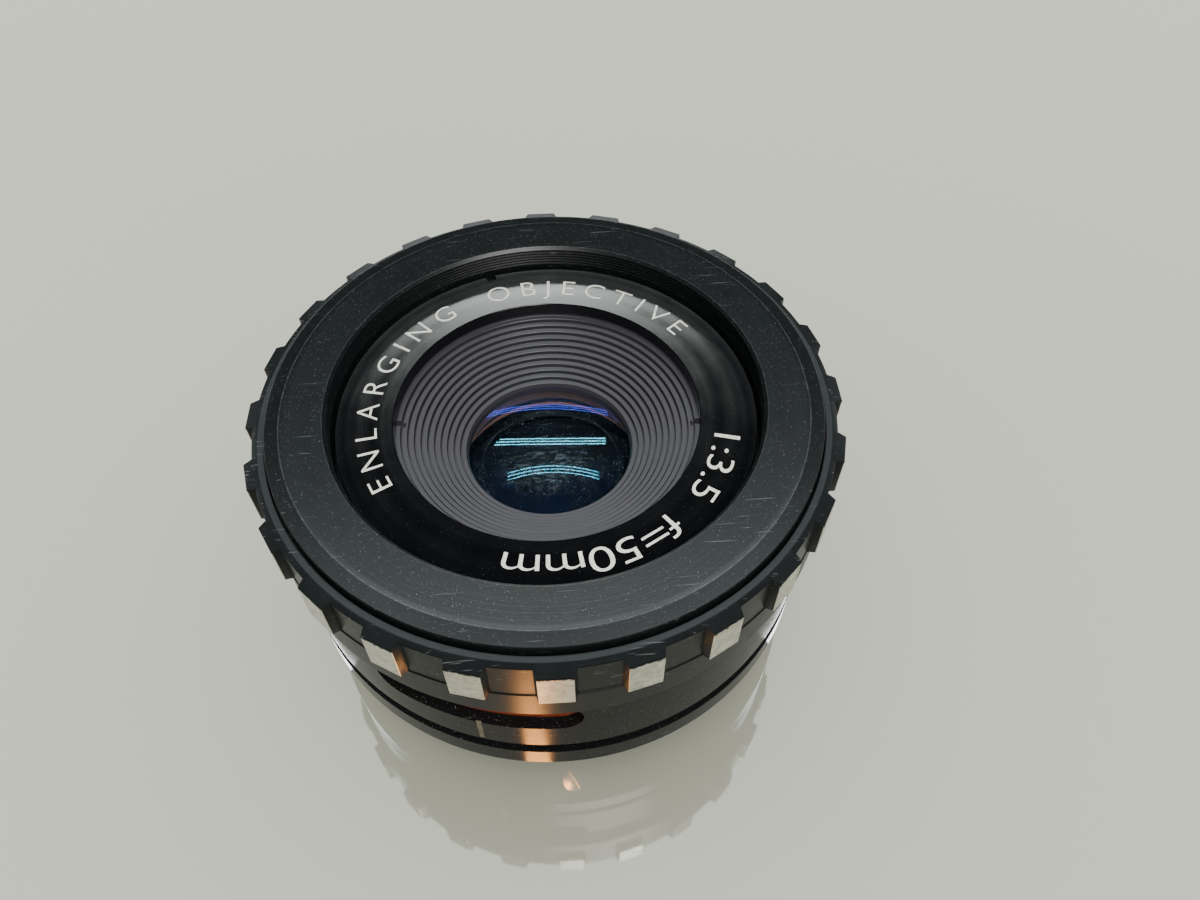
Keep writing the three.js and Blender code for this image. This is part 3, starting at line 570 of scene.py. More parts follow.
    def bump(self, height: Socket, depth: float) -> None:
        """Gives the shader a relief.

        Args:
            height: the relief, 0 to 1.
            depth: how deep it is in mm.
        """
        node = self.add("ShaderNodeBump")
        node.inputs["Distance"].default_value = depth * MM
        self.join(height, node.inputs["Height"])
        self.join(node.outputs[0], self.shader.inputs["Normal"])

    def set(self, **values: object) -> None:
        """Sets the shader's sockets: base_color for Base Color and so on.

        Args:
            **values: a socket, number or colour for each of the shader's sockets.
        """
        names = {
            "ior": "IOR", "specular": "Specular IOR Level", "transmission": "Transmission Weight",
            "coat": "Coat Weight",
        }
        for key, value in values.items():
            socket = self.shader.inputs[names.get(key, key.replace("_", " ").title())]
            if isinstance(value, tuple) and len(value) == 3:
                value = (*value, 1.0)
            self.join(value, socket)


@dataclass(frozen=True)
class Turned:
    """Anodised or painted metal off a lathe: fine rings round the axis, scratches, dust and worn edges."""

    name: str
    dark: RGB
    light: RGB
    roughness: float
    specular: float = 0.5
    lines: float = 5.0
    depth: float = 0.006
    scratch: float = 0.5
    mark: RGB = (0.32, 0.34, 0.33)
    worn: tuple[tuple[float, float, float], ...] = ()
    metal: float = 0.0
    grain: float = 0.25
    dust: float = 0.72

    def material(self) -> bpy.types.Material:
        """Builds the finish's material.

        Returns:
            The material.
        """
        graph = Graph(self.name)
        radius, height = graph.radius_and_height()
        rings = graph.vector(radius, height)
        fine = graph.noise(rings, self.lines, 3.0, 0.6)
        broad = graph.noise(rings, self.lines * 0.18, 2.0)
        patch = graph.grain(0.35, 3.0)
        tone = graph.fused(fine, 0.5, graph.times(patch, 1.5))
        colour = graph.blend(graph.band(tone, 0.3, 0.7), self.dark, self.light)
        marks = graph.scratches(self.scratch)
        colour = graph.blend(graph.times(marks, self.scratch), colour, self.mark)
        for place, width, strength in self.worn:
            away = graph.math("ABSOLUTE", graph.math("SUBTRACT", radius, place))
            edge = graph.band(away, width, width * 0.35)
            broken = graph.band(graph.grain(1.6, 4.0, 0.7), 0.3, 0.6)
            share = graph.times(graph.times(edge, broken), strength)
            colour = graph.blend(share, colour, self.mark)
        dust = graph.specks(0.09, self.dust)
        colour = graph.blend(graph.times(dust, 0.45), colour, DUST_COLOUR)
        rough = graph.fused(patch, 0.08, graph.fused(broad, 0.14, self.roughness - 0.11))
        relief = graph.fused(graph.grain(14.0, 2.0), self.grain, fine)
        relief = graph.fused(marks, -0.5, relief)
        graph.set(base_color=colour, roughness=rough, metallic=self.metal, specular=self.specular)
        graph.bump(relief, self.depth)
        return graph.material


@dataclass(frozen=True)
class BareEdge:
    """Black anodised metal with its gripping facets turned down to bare alloy."""

    name: str
    grip_radius: float
    facet_top: float
    rim_inner: float
    rim_top: float
    dark: RGB = (0.005, 0.006, 0.007)
    light: RGB = (0.013, 0.015, 0.015)
    rim_colour: RGB = (0.045, 0.05, 0.052)
    mark: RGB = (0.3, 0.31, 0.3)
    bare_dark: RGB = (0.4, 0.39, 0.33)
    bare_light: RGB = (0.66, 0.65, 0.57)

    def material(self) -> bpy.types.Material:
        """Builds the finish's material.

        Returns:
            The material.
        """
        graph = Graph(self.name)
        radius, height = graph.radius_and_height()
        chips = graph.grain(2.6, 4.0, 0.65)
        fine_chips = graph.grain(9.0, 3.0, 0.6)
        ragged = graph.fused(graph.math("SUBTRACT", chips, 0.5), 0.9, height)
        ragged = graph.fused(graph.math("SUBTRACT", fine_chips, 0.5), 0.22, ragged)
        on_facet = graph.band(radius, self.grip_radius - 0.075, self.grip_radius - 0.04)
        below = graph.band(ragged, self.facet_top, self.facet_top - 0.05)
        facet = graph.times(on_facet, below)
        holes = graph.band(graph.grain(3.4, 3.0), 0.31, 0.26)
        facet = graph.times(facet, graph.math("SUBTRACT", 1.0, holes))
        rings = graph.vector(radius, height)
        fine = graph.noise(rings, 6.0, 3.0, 0.6)
        patch = graph.grain(0.5, 3.0)
        tone = graph.fused(fine, 0.5, graph.times(patch, 0.5))
        black = graph.blend(tone, self.dark, self.light)
        on_rim = graph.band(radius, self.rim_inner + 0.55, self.rim_inner + 0.48)
        rim = graph.times(on_rim, graph.band(height, self.rim_top - 0.08, self.rim_top - 0.04))
        black = graph.blend(graph.times(rim, 0.7), black, self.rim_colour)
        marks = graph.scratches(0.5)
        black = graph.blend(graph.times(marks, 0.4), black, self.mark)
        clouded = graph.band(graph.grain(1.3, 5.0, 0.7), 0.35, 0.65)
        bare = graph.blend(clouded, self.bare_dark, self.bare_light)
        rough = graph.fused(facet, 0.06, graph.fused(patch, 0.1, 0.27))
        turned = graph.fused(fine, 0.3, graph.times(fine_chips, 0.35))
        relief = graph.fused(facet, -0.8, turned)
        colour = graph.blend(facet, black, bare)
        graph.set(base_color=colour, roughness=rough, metallic=facet, specular=0.08)
        graph.bump(relief, 0.012)
        return graph.material


@dataclass(frozen=True)
class CoatedGlass:
    """Lens glass with a coating that tints its reflections, and dust and haze on it."""

    name: str
    reflection: RGB
    body: RGB
    ior: float
    haze: float = 0.0
    lets_light_in: bool = True
    haze_colour: RGB = (0.62, 0.75, 0.82)
    haze_forward: float = 1.7
    haze_flatness: float = 1.7
    haze_reach: float = 5.4

    def mixed(self, graph: Graph, amount: Socket, first: Socket, kind: str, colour: RGB) -> Socket:
        """Mixes a plain shader over a first one.

        Args:
            graph: the material that is being built.
            amount: how much of the plain shader, 0 to 1.
            first: the shader that it goes over.
            kind: the plain shader's node type.
            colour: its colour.

        Returns:
            The mixed shader.
        """
        second = graph.add(kind)
        second.inputs["Color"].default_value = (*colour, 1.0)
        mix = graph.add("ShaderNodeMixShader")
        graph.join(amount, mix.inputs[0])
        graph.join(first, mix.inputs[1])
        graph.join(second.outputs[0], mix.inputs[2])
        return mix.outputs[0]

    def hazed(self, graph: Graph, surface: Socket) -> Socket:
        """Puts a film, smears and specks over the glass, thickest a little in front of its middle.

        Args:
            graph: the material that is being built.
            surface: the clean glass.

        Returns:
            The glass with haze on it.
        """
        parts = graph.add("ShaderNodeSeparateXYZ")
        graph.join(graph.place(), parts.inputs[0])
        across = parts.outputs[0]
        along = graph.times(graph.math("ADD", parts.outputs[1], self.haze_forward), self.haze_flatness)
        spread = graph.math("SQRT", graph.fused(along, along, graph.times(across, across)))
        patch = graph.band(spread, self.haze_reach, 1.0)
        cloud = graph.grain(0.6, 6.0, 0.7)
        tangle = graph.noise(graph.stretched(32.0, 1.1, 2.6), 1.0, 6.0, 0.8)
        film = graph.times(graph.band(tangle, 0.5, 0.74), graph.times(patch, 0.5))
        specks = graph.times(graph.specks(0.1, 0.68), graph.band(cloud, 0.4, 0.6))
        veil = graph.fused(patch, 0.012, 0.002)
        total = graph.math("ADD", graph.fused(specks, 0.6, film), veil)
        amount = graph.math("MULTIPLY", total, self.haze, clamp=True)
        return self.mixed(graph, amount, surface, "ShaderNodeBsdfDiffuse", self.haze_colour)

    def material(self) -> bpy.types.Material:
        """Builds the finish's material.

        Returns:
            The material.
        """
        graph = Graph(self.name)
        graph.set(
            base_color=self.body, roughness=0.0, transmission=1.0, ior=self.ior, specular_tint=self.reflection
        )
        surface = graph.shader.outputs[0]
        if self.haze > 0.0:
            surface = self.hazed(graph, surface)
        if self.lets_light_in:
            lamp_ray = graph.add("ShaderNodeLightPath").outputs["Is Shadow Ray"]
            surface = self.mixed(graph, lamp_ray, surface, "ShaderNodeBsdfTransparent", self.body)
        graph.join(surface, graph.output.inputs["Surface"])
        return graph.material


@dataclass(frozen=True)
class Paint:
    """Paint rubbed into engraving: off-white, uneven, with crumbs missing."""

    name: str
    fresh: RGB
    worn: RGB
    missing: float
    beneath: RGB = (0.02, 0.02, 0.02)

    def material(self) -> bpy.types.Material:
        """Builds the finish's material.

        Returns:
            The material.
        """
        graph = Graph(self.name)
        uneven = graph.grain(3.0, 4.0, 0.7)
        gaps = graph.band(graph.grain(5.5, 3.0, 0.6), self.missing, self.missing - 0.07)
        colour = graph.blend(graph.band(uneven, 0.35, 0.65), self.worn, self.fresh)
        colour = graph.blend(gaps, colour, self.beneath)
        graph.set(base_color=colour, roughness=0.6)
        graph.bump(graph.grain(12.0, 3.0), 0.03)
        return graph.material


@dataclass(frozen=True)
class Moulded:
    """Dark red-brown moulded plastic with speckles in it."""

    name: str
    dark: RGB = (0.12, 0.022, 0.012)
    light: RGB = (0.6, 0.12, 0.045)

    def material(self) -> bpy.types.Material:
        """Builds the finish's material.

        Returns:
            The material.
        """
        graph = Graph(self.name)
        radius, height = graph.radius_and_height()
        grain = graph.grain(7.0, 4.0, 0.75)
        streak = graph.noise(graph.vector(radius, height), 3.0, 2.0)
        tone = graph.fused(streak, 0.35, graph.times(grain, 0.65))
        colour = graph.blend(graph.band(tone, 0.38, 0.66), self.dark, self.light)
        graph.set(base_color=colour, roughness=0.3, coat=0.3, coat_roughness=0.2)
        graph.bump(grain, 0.02)
        return graph.material


@dataclass(frozen=True)
class Shelf:
    """The pale, slightly glossy surface that the lens stands on."""

    name: str
    colour: RGB
    uneven: float = 0.06
    roughness: float = 0.04
    ior: float = 2.6

    def material(self) -> bpy.types.Material:
        """Builds the finish's material.

        Returns:
            The material.
        """
        graph = Graph(self.name)
        drift = graph.grain(0.01, 2.0)
        deeper = tuple(c * (1.0 - self.uneven) for c in self.colour)
        colour = graph.blend(drift, deeper, self.colour)
        graph.set(base_color=colour, roughness=self.roughness, ior=self.ior, specular=0.5)
        return graph.material


class Finish(Enum):
    """Every finish of the lens, by what it is on."""

    FRONT = Turned(
        "black_front", (0.0035, 0.0042, 0.005), (0.009, 0.011, 0.012), roughness=0.35, specular=0.4,
        lines=5.5, depth=0.007, scratch=0.3, worn=((21.9, 0.07, 0.22), (18.44, 0.06, 0.15)),
    )
    NAME = Turned(
        "satin_name_ring", (0.0012, 0.0012, 0.002), (0.003, 0.003, 0.0045), roughness=0.145, specular=0.9,
        lines=7.0, depth=0.0008, scratch=0.06, dust=0.76, grain=0.6,
    )
    BAFFLE = Turned(
        "baffle_mauve_grey", (0.016, 0.014, 0.018), (0.028, 0.025, 0.031), roughness=0.34, specular=0.3,
        lines=9.0, depth=0.002, scratch=0.0, dust=0.78, grain=0.8,
    )
    BODY = Turned(
        "black_body", (0.004, 0.0045, 0.0045), (0.009, 0.0095, 0.0095), roughness=0.22, specular=0.04,
        lines=7.0, depth=0.0015, scratch=0.2,
    )
    MOUNT = Turned(
        "black_mount", (0.004, 0.004, 0.0045), (0.009, 0.0095, 0.0095), roughness=0.22, specular=0.04,
        lines=6.0, depth=0.002, scratch=0.3, worn=((19.5, 0.06, 0.5),),
    )
    INNER = Turned(
        "matt_inner_black", (0.004, 0.004, 0.005), (0.01, 0.01, 0.011), roughness=0.6, specular=0.25,
        lines=4.0, depth=0.004, scratch=0.0,
    )
    WARM = Turned(
        "warm_inner_edge", (0.035, 0.013, 0.006), (0.07, 0.026, 0.011), roughness=0.45,
        lines=8.0, depth=0.002, scratch=0.0,
    )
    BRONZE = Turned(
        "bronze_plate", (0.22, 0.075, 0.03), (0.34, 0.12, 0.05), roughness=0.4,
        lines=8.0, depth=0.002, scratch=0.0,
    )
    STEEL = Turned(
        "bright_steel", (0.42, 0.43, 0.44), (0.62, 0.63, 0.64), roughness=0.28,
        lines=9.0, depth=0.003, scratch=0.4, metal=1.0,
    )
    BLADE = Turned(
        "blued_blade_steel", (0.03, 0.031, 0.036), (0.06, 0.062, 0.07), roughness=0.36,
        lines=3.0, depth=0.002, scratch=0.6, metal=0.7,
    )
    BRASS = Turned(
        "turned_brass", (0.42, 0.25, 0.08), (0.62, 0.4, 0.15), roughness=0.32,
        lines=8.0, depth=0.003, scratch=0.3, metal=1.0,
    )
    GRIP = BareEdge("grip_bare_edges", grip_radius=25.0, facet_top=25.02, rim_inner=23.3, rim_top=25.5)
    FRONT_GLASS = CoatedGlass("front_glass", (0.7, 0.92, 1.0), (0.8, 0.88, 0.98), 1.8, 1.0)
    INNER_GLASS = CoatedGlass("inner_glass", (0.3, 0.75, 1.0), (0.9, 0.93, 0.98), 1.03)
    REAR_GLASS = CoatedGlass("rear_glass", (0.3, 0.75, 1.0), (0.8, 0.86, 0.98), 1.03, lets_light_in=False)
    LETTERS = Paint("engraved_paint", (0.95, 0.93, 0.84), (0.7, 0.67, 0.58), 0.33)
    INDEX = Paint("index_paint", (0.2, 0.19, 0.15), (0.09, 0.08, 0.06), 0.45)
    PLASTIC = Moulded("speckled_red_plastic")
    SHELF = Shelf("pale_shelf", (0.485, 0.488, 0.405))


_made: dict[Finish, bpy.types.Material] = {}


def paint(piece: Piece, finish: Finish, second: bool = False) -> None:
    """Gives a piece a finish, made once for the whole scene, or adds it as a second one.

    Args:
        piece: what is dressed.
        finish: what it gets.
        second: adds the finish after the first one, and keeps that.
    """
    if finish not in _made:
        _made[finish] = finish.value.material()
    if not second:
        piece.data.materials.clear()
    piece.data.materials.append(_made[finish])


def place(piece: Piece, body: Body, slot: Slot, finish: Finish, *nodes: str) -> Piece:
    """Dresses a new piece, fixes it to a body and hides the CAD nodes that it stands for.

    Args:
        piece: the new piece.
        body: the CAD body that it rides on.
        slot: the record's material slot; not used.
        finish: its finish.
        *nodes: the CAD nodes that it stands for.

    Returns:
        The piece.
    """
    paint(piece, finish)
    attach(piece, body.value)
    if nodes:
        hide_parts(*nodes)
    log.info("%s: %d faces on %s", piece.name, len(piece.data.polygons), body.value)
    return piece


# ---------------------------------------------------------------- sub-assemblies


@dataclass
class FrontPlate:
    """The broad front ring with the filter thread inside it."""

    face: float = 26.5
    flat_edge: float = 21.9
    outer: float = 23.1
    bevel_drop: float = 0.23
    back: float = 24.75
    mouth: float = 18.16
    chamfer: float = 0.25
    ledge: float = 22.6
    bottom: float = 21.9
    bore: float = 17.0
    neck: float = 18.95
    thread_pitch: float = 0.32
    thread_depth: float = 0.1
    threads: int = 5

    def outline(self) -> Outline:
        """The ring's section, from the bore up the outside and back down the mouth.

        Returns:
            The closed section.
        """
        shoulder = self.face - self.bevel_drop
        points: Outline = [
            (self.bore, self.ledge), (self.bore, self.bottom), (self.neck, self.bottom),
            (self.neck, self.back), (self.outer - 0.04, self.back), (self.outer, self.back + 0.04),
            (self.outer, shoulder - 0.05), (self.outer - 0.05, shoulder),
            (self.flat_edge + 0.05, self.face - 0.012), (self.flat_edge, self.face),
        ]
        points += [(self.flat_edge - 0.5 * i, self.face) for i in range(1, 7)]
        top, corner = self.face - self.chamfer, self.mouth + self.chamfer
        points += [(corner + 0.03, self.face), (corner, self.face - 0.03), (self.mouth, top)]
        root = self.mouth + self.thread_depth
        for i in range(self.threads):
            high = top - 0.12 - i * self.thread_pitch
            points += [(self.mouth, high), (root, high - 0.12)]
            points += [(root, high - 0.15), (self.mouth, high - 0.27)]
        points.append((self.mouth, self.ledge))
        return points

    def build(self) -> None:
        """Turns and dresses the ring."""
        ring = turn("front_ring_turned", self.outline(), 320, 24.0)
        place(ring, Body.HOUSING, Slot.BLACK_ANODISED, Finish.FRONT, "front_plate")


@dataclass
class NameRing:
    """The flat satin ring with engraved lettering, screwed in over the front cell."""

    outer: float = 17.91
    bore: float = 13.05
    bottom: float = 22.9
    top: float = 24.1
    edge: float = 0.07
    notch_angle: float = 104.7
    notch_width: float = 0.9
    engraving: float = 0.09
    word_height: float = 1.95
    word_radius: float = 14.4
    figure_height: float = 2.35
    figure_radius: float = 14.3

    def outline(self) -> Outline:
        """The ring's section.

        Returns:
            The closed section.
        """
        return [
            (self.bore, self.bottom), (self.outer, self.bottom),
            (self.outer, self.top - self.edge), (self.outer - self.edge, self.top),
            (self.bore + self.edge, self.top), (self.bore, self.top - self.edge),
        ]

    def words(self, label: str, top: float, depth: float, weight: float) -> list[Piece]:
        """The four pieces of lettering at a height and depth.

        Args:
            label: starts the names of the pieces.
            top: height of the upper face in mm.
            depth: how deep the letters go in mm.
            weight: how much the strokes grow, in parts of the letter size.

        Returns:
            The pieces.
        """
        word, figure = (self.word_height, self.word_radius), (self.figure_height, self.figure_radius)
        return [
            lettering(f"{label}_{part}", text, *size, start, end, top, depth, weight, widen)
            for part, text, size, start, end, widen in (
                ("kind", "ENLARGING", word, 208.5, 122.0, 1.12),
                ("noun", "OBJECTIVE", word, 109.0, 33.5, 1.12),
                ("opening", "1:3.5", figure, -11.5, -41.0, 1.35),
                ("focus", "f=50mm", figure, -51.5, -106.3, 1.45),
            )
        ]

    def build(self) -> None:
        """Turns the ring, engraves it and fills the letters."""
        ring = turn("name_ring_turned", self.outline(), 240)
        half = math.degrees(self.notch_width / 2 / self.outer)
        start, end = self.notch_angle - half, self.notch_angle + half
        columns = block_columns(start, end, self.bottom - 1, self.top + 1, 4)
        notch = arc_slab("notch", self.outer - 0.6, self.outer + 1.0, columns)
        cut(ring, [notch, *self.words("cut", self.top + 0.2, self.engraving + 0.2, 0.0)])
        place(ring, Body.HOUSING, Slot.SATIN_BLACK, Finish.NAME, "name_ring")
        for piece in self.words("letters", self.top - 0.02, self.engraving - 0.03, -0.009):
            place(piece, Body.HOUSING, Slot.WHITE_PAINT, Finish.LETTERS)


@dataclass
class RidgedCone:
    """The cone round the glass, cut into flat ridges that kill stray light."""

    outer: float = 14.58
    rim: float = 13.09
    rim_top: float = 22.57
    hole: float = 7.24
    hole_top: float = 19.09
    ridges: int = 11
    land: float = 0.72
    groove: float = 0.2
    bottom: float = 16.9
    back_hole: float = 9.8
    notch_angles: tuple[float, float] = (-4.5, 175.5)
    notch_width: float = 0.6
    notch_depth: float = 0.75

    def outline(self) -> Outline:
        """The cone's section: down the ridges, round the hole and back underneath.

        Returns:
            The closed section.
        """
        pitch = (self.rim - self.hole) / self.ridges
        fall = (self.rim_top - self.hole_top) / self.ridges
        back = self.bottom + 0.02
        points: Outline = [(self.outer, back), (self.outer, self.rim_top), (self.rim + 0.02, self.rim_top)]
        for i in range(self.ridges):
            start, high = self.rim - i * pitch, self.rim_top - i * fall
            inner = start - pitch * self.land
            points += [(start, high - 0.02), (inner + 0.03, high - 0.07), (inner, high - 0.1)]
            if i < self.ridges - 1:
                deep = high - fall - self.groove
                points += [(inner - 0.015, deep), (start - pitch + 0.015, deep)]
        points += [(self.hole, self.hole_top - 0.12), (self.hole, self.hole_top - 0.7)]
        points.append((self.back_hole, back))
        return points

    def build(self) -> None:
        """Turns the cone and cuts the two spanner notches in its edge."""
        cone = turn("ridged_cone", self.outline(), 240, 20.0)
        half = math.degrees(self.notch_width / 2 / self.rim)
        low, inner = self.rim_top - self.notch_depth, self.rim - self.notch_depth
        notches = []
        for angle in self.notch_angles:
            columns = block_columns(angle - half, angle + half, low, self.rim_top + 1, 4)
            notches.append(arc_slab("notch", inner, self.rim + 0.2, columns))
        cut(cone, notches, 20.0)
        place(cone, Body.HOUSING, Slot.BAFFLE_GREY, Finish.BAFFLE, "cone_baffle")


@dataclass
class GlassElement:
    """One lens element, from its edge heights and the curves of its two faces."""

    name: str
    node: str
    radius: float
    edge_bottom: float
    edge_top: float
    lower_centre: float
    upper_centre: float
    finish: Finish

    def face(self, centre: float, edge: float, steps: int = 28) -> Outline:
        """Points of one face from the axis to the rim, on a sphere through its centre and edge.

        Args:
            centre: height of the face on the axis in mm.
            edge: its height at the rim.
            steps: how many steps it has.

        Returns:
            The points.
        """
        rise = edge - centre
        points: Outline = []
        for i in range(steps + 1):
            r = self.radius * i / steps
            if abs(rise) < TINY:
                points.append((r, centre))
            else:
                curve = (self.radius**2 + rise**2) / (2 * abs(rise))
                fall = curve - math.sqrt(curve**2 - r**2)
                points.append((r, centre + math.copysign(fall, rise)))
        return points

    def build(self) -> None:
        """Grinds the element and dresses it."""
        lower = self.face(self.lower_centre, self.edge_bottom)
        upper = self.face(self.upper_centre, self.edge_top)
        element = turn(self.name, lower + upper[::-1], 200, 35.0)
        place(element, Body.HOUSING, Slot.GLASS, self.finish, self.node)
        if self.finish is Finish.FRONT_GLASS:
            paint(element, Finish.INNER_GLASS, second=True)
            for face in element.data.polygons:
                face.material_index = 0 if face.normal.z > 0.5 else 1


@dataclass
class ApertureRing:
    """The gripping ring: a toothed band over a plain skirt, with a thin bright rim on top."""

    bore: float = 20.2
    seat: float = 21.45
    seat_top: float = 18.6
    skirt: float = 24.38
    skirt_bottom: float = 17.7
    valley: float = 24.3
    grip: float = 25.0
    tooth_bottom: float = 21.15
    tooth_top: float = 25.25
    rim: float = 23.8
    rim_inner: float = 23.3
    rim_top: float = 25.5
    inner_floor: float = 24.45
    teeth: int = 24
    phase: float = -91.7
    facet: float = 6.0
    flank: float = 0.65

    def radius_at(self, offset: float) -> float:
        """Outer radius at an angle from the middle of the nearest tooth: flat facet, steep flank, valley.

        Args:
            offset: the angle from the middle of the nearest tooth, in degrees.

        Returns:
            The radius in mm.
        """
        half = self.facet / 2
        away = abs(offset)
        if away <= half:
            return self.grip * math.cos(math.radians(half)) / math.cos(math.radians(away))
        if away <= half + self.flank:
            return self.grip + (self.valley - self.grip) * (away - half) / self.flank
        return self.valley

    def top_at(self, radius: float) -> float:
        """Height of the top bevel at a radius."""
        slope = (self.rim_top - self.tooth_top) / (self.grip - self.rim)
        return self.rim_top - slope * (radius - self.rim)

    def outline(self, angle: float) -> Outline:
        """The ring's section at an angle.

        Args:
            angle: where the section is taken, in degrees.

        Returns:
            The closed section.
        """
        pitch = 360.0 / self.teeth
        offset = (angle - self.phase + pitch / 2) % pitch - pitch / 2
        outer = self.radius_at(offset)
        soft = min(0.06, max(0.01, (outer - self.valley) * 0.3))
        top = self.top_at(outer)
        slope_start = self.rim + 0.12
        return [
            (self.seat, self.skirt_bottom), (self.skirt - 0.1, self.skirt_bottom),
            (self.skirt, self.skirt_bottom + 0.1), (self.skirt, self.tooth_bottom - 0.06),
            (self.skirt - 0.06, self.tooth_bottom - 0.01),
            (max(self.valley - 0.01, outer - soft), self.tooth_bottom), (outer, self.tooth_bottom + soft),
            (outer, top - 0.09), (outer - 0.05, top - 0.02),
            (slope_start, self.top_at(slope_start)), (self.rim - 0.02, self.rim_top),
            (self.rim_inner + 0.05, self.rim_top), (self.rim_inner, self.rim_top - 0.05),
            (self.rim_inner, self.inner_floor), (self.bore, self.inner_floor),
            (self.bore, self.seat_top), (self.seat, self.seat_top),
        ]

    def build(self) -> None:
        """Cuts the toothed ring and dresses it."""
        half = self.facet / 2
        edge = half + self.flank
        pitch = 360.0 / self.teeth
        steps = [0.0, half * 0.5, half - 0.25, half - 0.06, half]
        steps += [half + self.flank * 0.5, edge, edge + 0.15, edge + 1.2, edge + 2.4]
        offsets = sorted({-s for s in steps} | set(steps) | {-pitch / 2})
        angles = [self.phase + pitch * i + o for i in range(self.teeth) for o in offsets]
        ring = sweep("toothed_aperture_ring", angles, self.outline, 22.0)
        place(ring, Body.RING, Slot.BLACK_ANODISED, Finish.GRIP, "aperture_ring")


@dataclass
class Barrel:
    """The fixed body with its round-ended window, the index line and the red scale cover."""

    radius: float = 23.7
    inner: float = 22.7
    top: float = 17.4
    bottom: float = 9.5
    groove: float = 22.4
    foot_inner: float = 20.6
    foot_bottom: float = 8.5
    foot_top: float = 9.7
    window_start: float = -129.5
    window_end: float = -87.1
    window_low: float = 13.1
    window_high: float = 16.9
    index_angle: float = -107.7
    index_width: float = 0.5
    cover_inner: float = 21.6
    cover_low: float = 12.1
    cover_lap: float = 2.4

    def outline(self) -> Outline:
        """The shell's section.

        Returns:
            The closed section.
        """
        return [
            (self.inner, self.top), (self.inner, self.foot_top), (self.foot_inner, self.foot_top),
            (self.foot_inner, self.foot_bottom), (self.groove, self.foot_bottom), (self.groove, self.bottom),
            (self.radius - 0.12, self.bottom), (self.radius, self.bottom + 0.12),
            (self.radius, self.top - 0.08), (self.radius - 0.08, self.top),
        ]

    def index_columns(self, share: float, low: float, high: float) -> Columns:
        """Columns of the index line, over a share of its width and between two heights."""
        half = math.degrees(self.index_width / 2 / self.radius) * share
        return block_columns(self.index_angle - half, self.index_angle + half, low, high, 4)

    def build(self) -> None:
        """Turns the shell, cuts the window and the index groove, and fits the cover and the line."""
        shell = turn("body_shell_turned", self.outline(), 300)
        opening = slot_columns(
            self.window_start, self.window_end, self.window_low, self.window_high, self.radius
        )
        window = arc_slab("window_cut", self.groove - 0.1, self.radius + 1.0, opening)
        groove = self.index_columns(1.0, self.bottom - 1, self.window_low + 0.1)
        cut(shell, [window, arc_slab("line_cut", self.radius - 0.14, self.radius + 1.0, groove)])
        place(shell, Body.HOUSING, Slot.BLACK_ANODISED, Finish.BODY, "body_shell")
        start, end = self.window_start - self.cover_lap, self.window_end + self.cover_lap
        bent = block_columns(start, end, self.cover_low, self.top, 60)
        cover = arc_slab("scale_cover_bent", self.cover_inner, self.groove, bent)
        place(cover, Body.HOUSING, Slot.RED_PLASTIC, Finish.PLASTIC, "scale_window")
        line = self.index_columns(0.96, self.bottom + 0.1, self.window_low - 0.05)
        mark = arc_slab("index_line", self.radius - 0.2, self.radius - 0.05, line)
        place(mark, Body.HOUSING, Slot.WHITE_PAINT, Finish.INDEX, "index_mark")


@dataclass(frozen=True)
class ScrewCircle:
    """Screws of one kind, evenly spaced round the axis."""

    radius: float
    start: float
    count: int = 3

    def angles(self) -> list[float]:
        """The angle of each screw in degrees."""
        return [self.start + 360.0 / self.count * i for i in range(self.count)]

    def plugs(self, hole: float, low: float, high: float) -> list[Piece]:
        """Upright cutters for holes of some radius between two heights, one for each screw."""
        places = [polar(self.radius, angle, 0.0) for angle in self.angles()]
        return [disc("sink", hole, low, high, x, y) for x, y, _ in places]


FLANGE_SCREWS = ScrewCircle(21.5, 30.0)
CELL_SCREWS = ScrewCircle(14.6, 90.0)


@dataclass
class Mount:
    """The flange and the screw thread that the lens stands on."""

    flange: float = 23.75
    flange_top: float = 8.2
    seat: float = 5.6
    thread: float = 19.5
    thread_depth: float = 0.5
    pitch: float = 0.977
    bore: float = 17.0
    ledge: float = 6.9
    ledge_bore: float = 12.6

    def outline(self) -> Outline:
        """The barrel's section, with the thread as ridges.

        Returns:
            The closed section.
        """
        root, neck, lip = self.thread - self.thread_depth, self.thread - 0.6, self.thread + 0.2
        points: Outline = [
            (self.bore, 0.06), (self.bore + 0.06, 0.0), (self.thread - 0.4, 0.0), (self.thread - 0.35, 0.1)
        ]
        height = 0.35
        while height + self.pitch < self.seat - 0.2:
            crest = (height + self.pitch * 0.44, height + self.pitch * 0.56)
            points += [(root, height), (self.thread, crest[0]), (self.thread, crest[1])]
            height += self.pitch
        points += [(root, height), (neck, height + 0.15), (neck, self.seat + 0.3)]
        points += [(lip, self.seat + 0.3), (lip, self.seat)]
        points += [
            (self.flange - 0.15, self.seat), (self.flange, self.seat + 0.15),
            (self.flange, self.flange_top - 0.1), (self.flange - 0.1, self.flange_top),
            (self.ledge_bore, self.flange_top), (self.ledge_bore, self.ledge), (self.bore, self.ledge),
        ]
        return points

    def screw_holes(self) -> list[Piece]:
        """Cutters for the sunk heads of the flange screws and the cell screws."""
        return FLANGE_SCREWS.plugs(1.15, 4.6, 7.0) + CELL_SCREWS.plugs(0.75, 5.9, 9.2)

    def build(self) -> None:
        """Turns the barrel, sinks the screw heads and dresses it."""
        barrel = turn("mount_barrel_threaded", self.outline(), 240)
        cut(barrel, self.screw_holes())
        place(barrel, Body.HOUSING, Slot.BLACK_ANODISED, Finish.MOUNT, "mount_barrel")


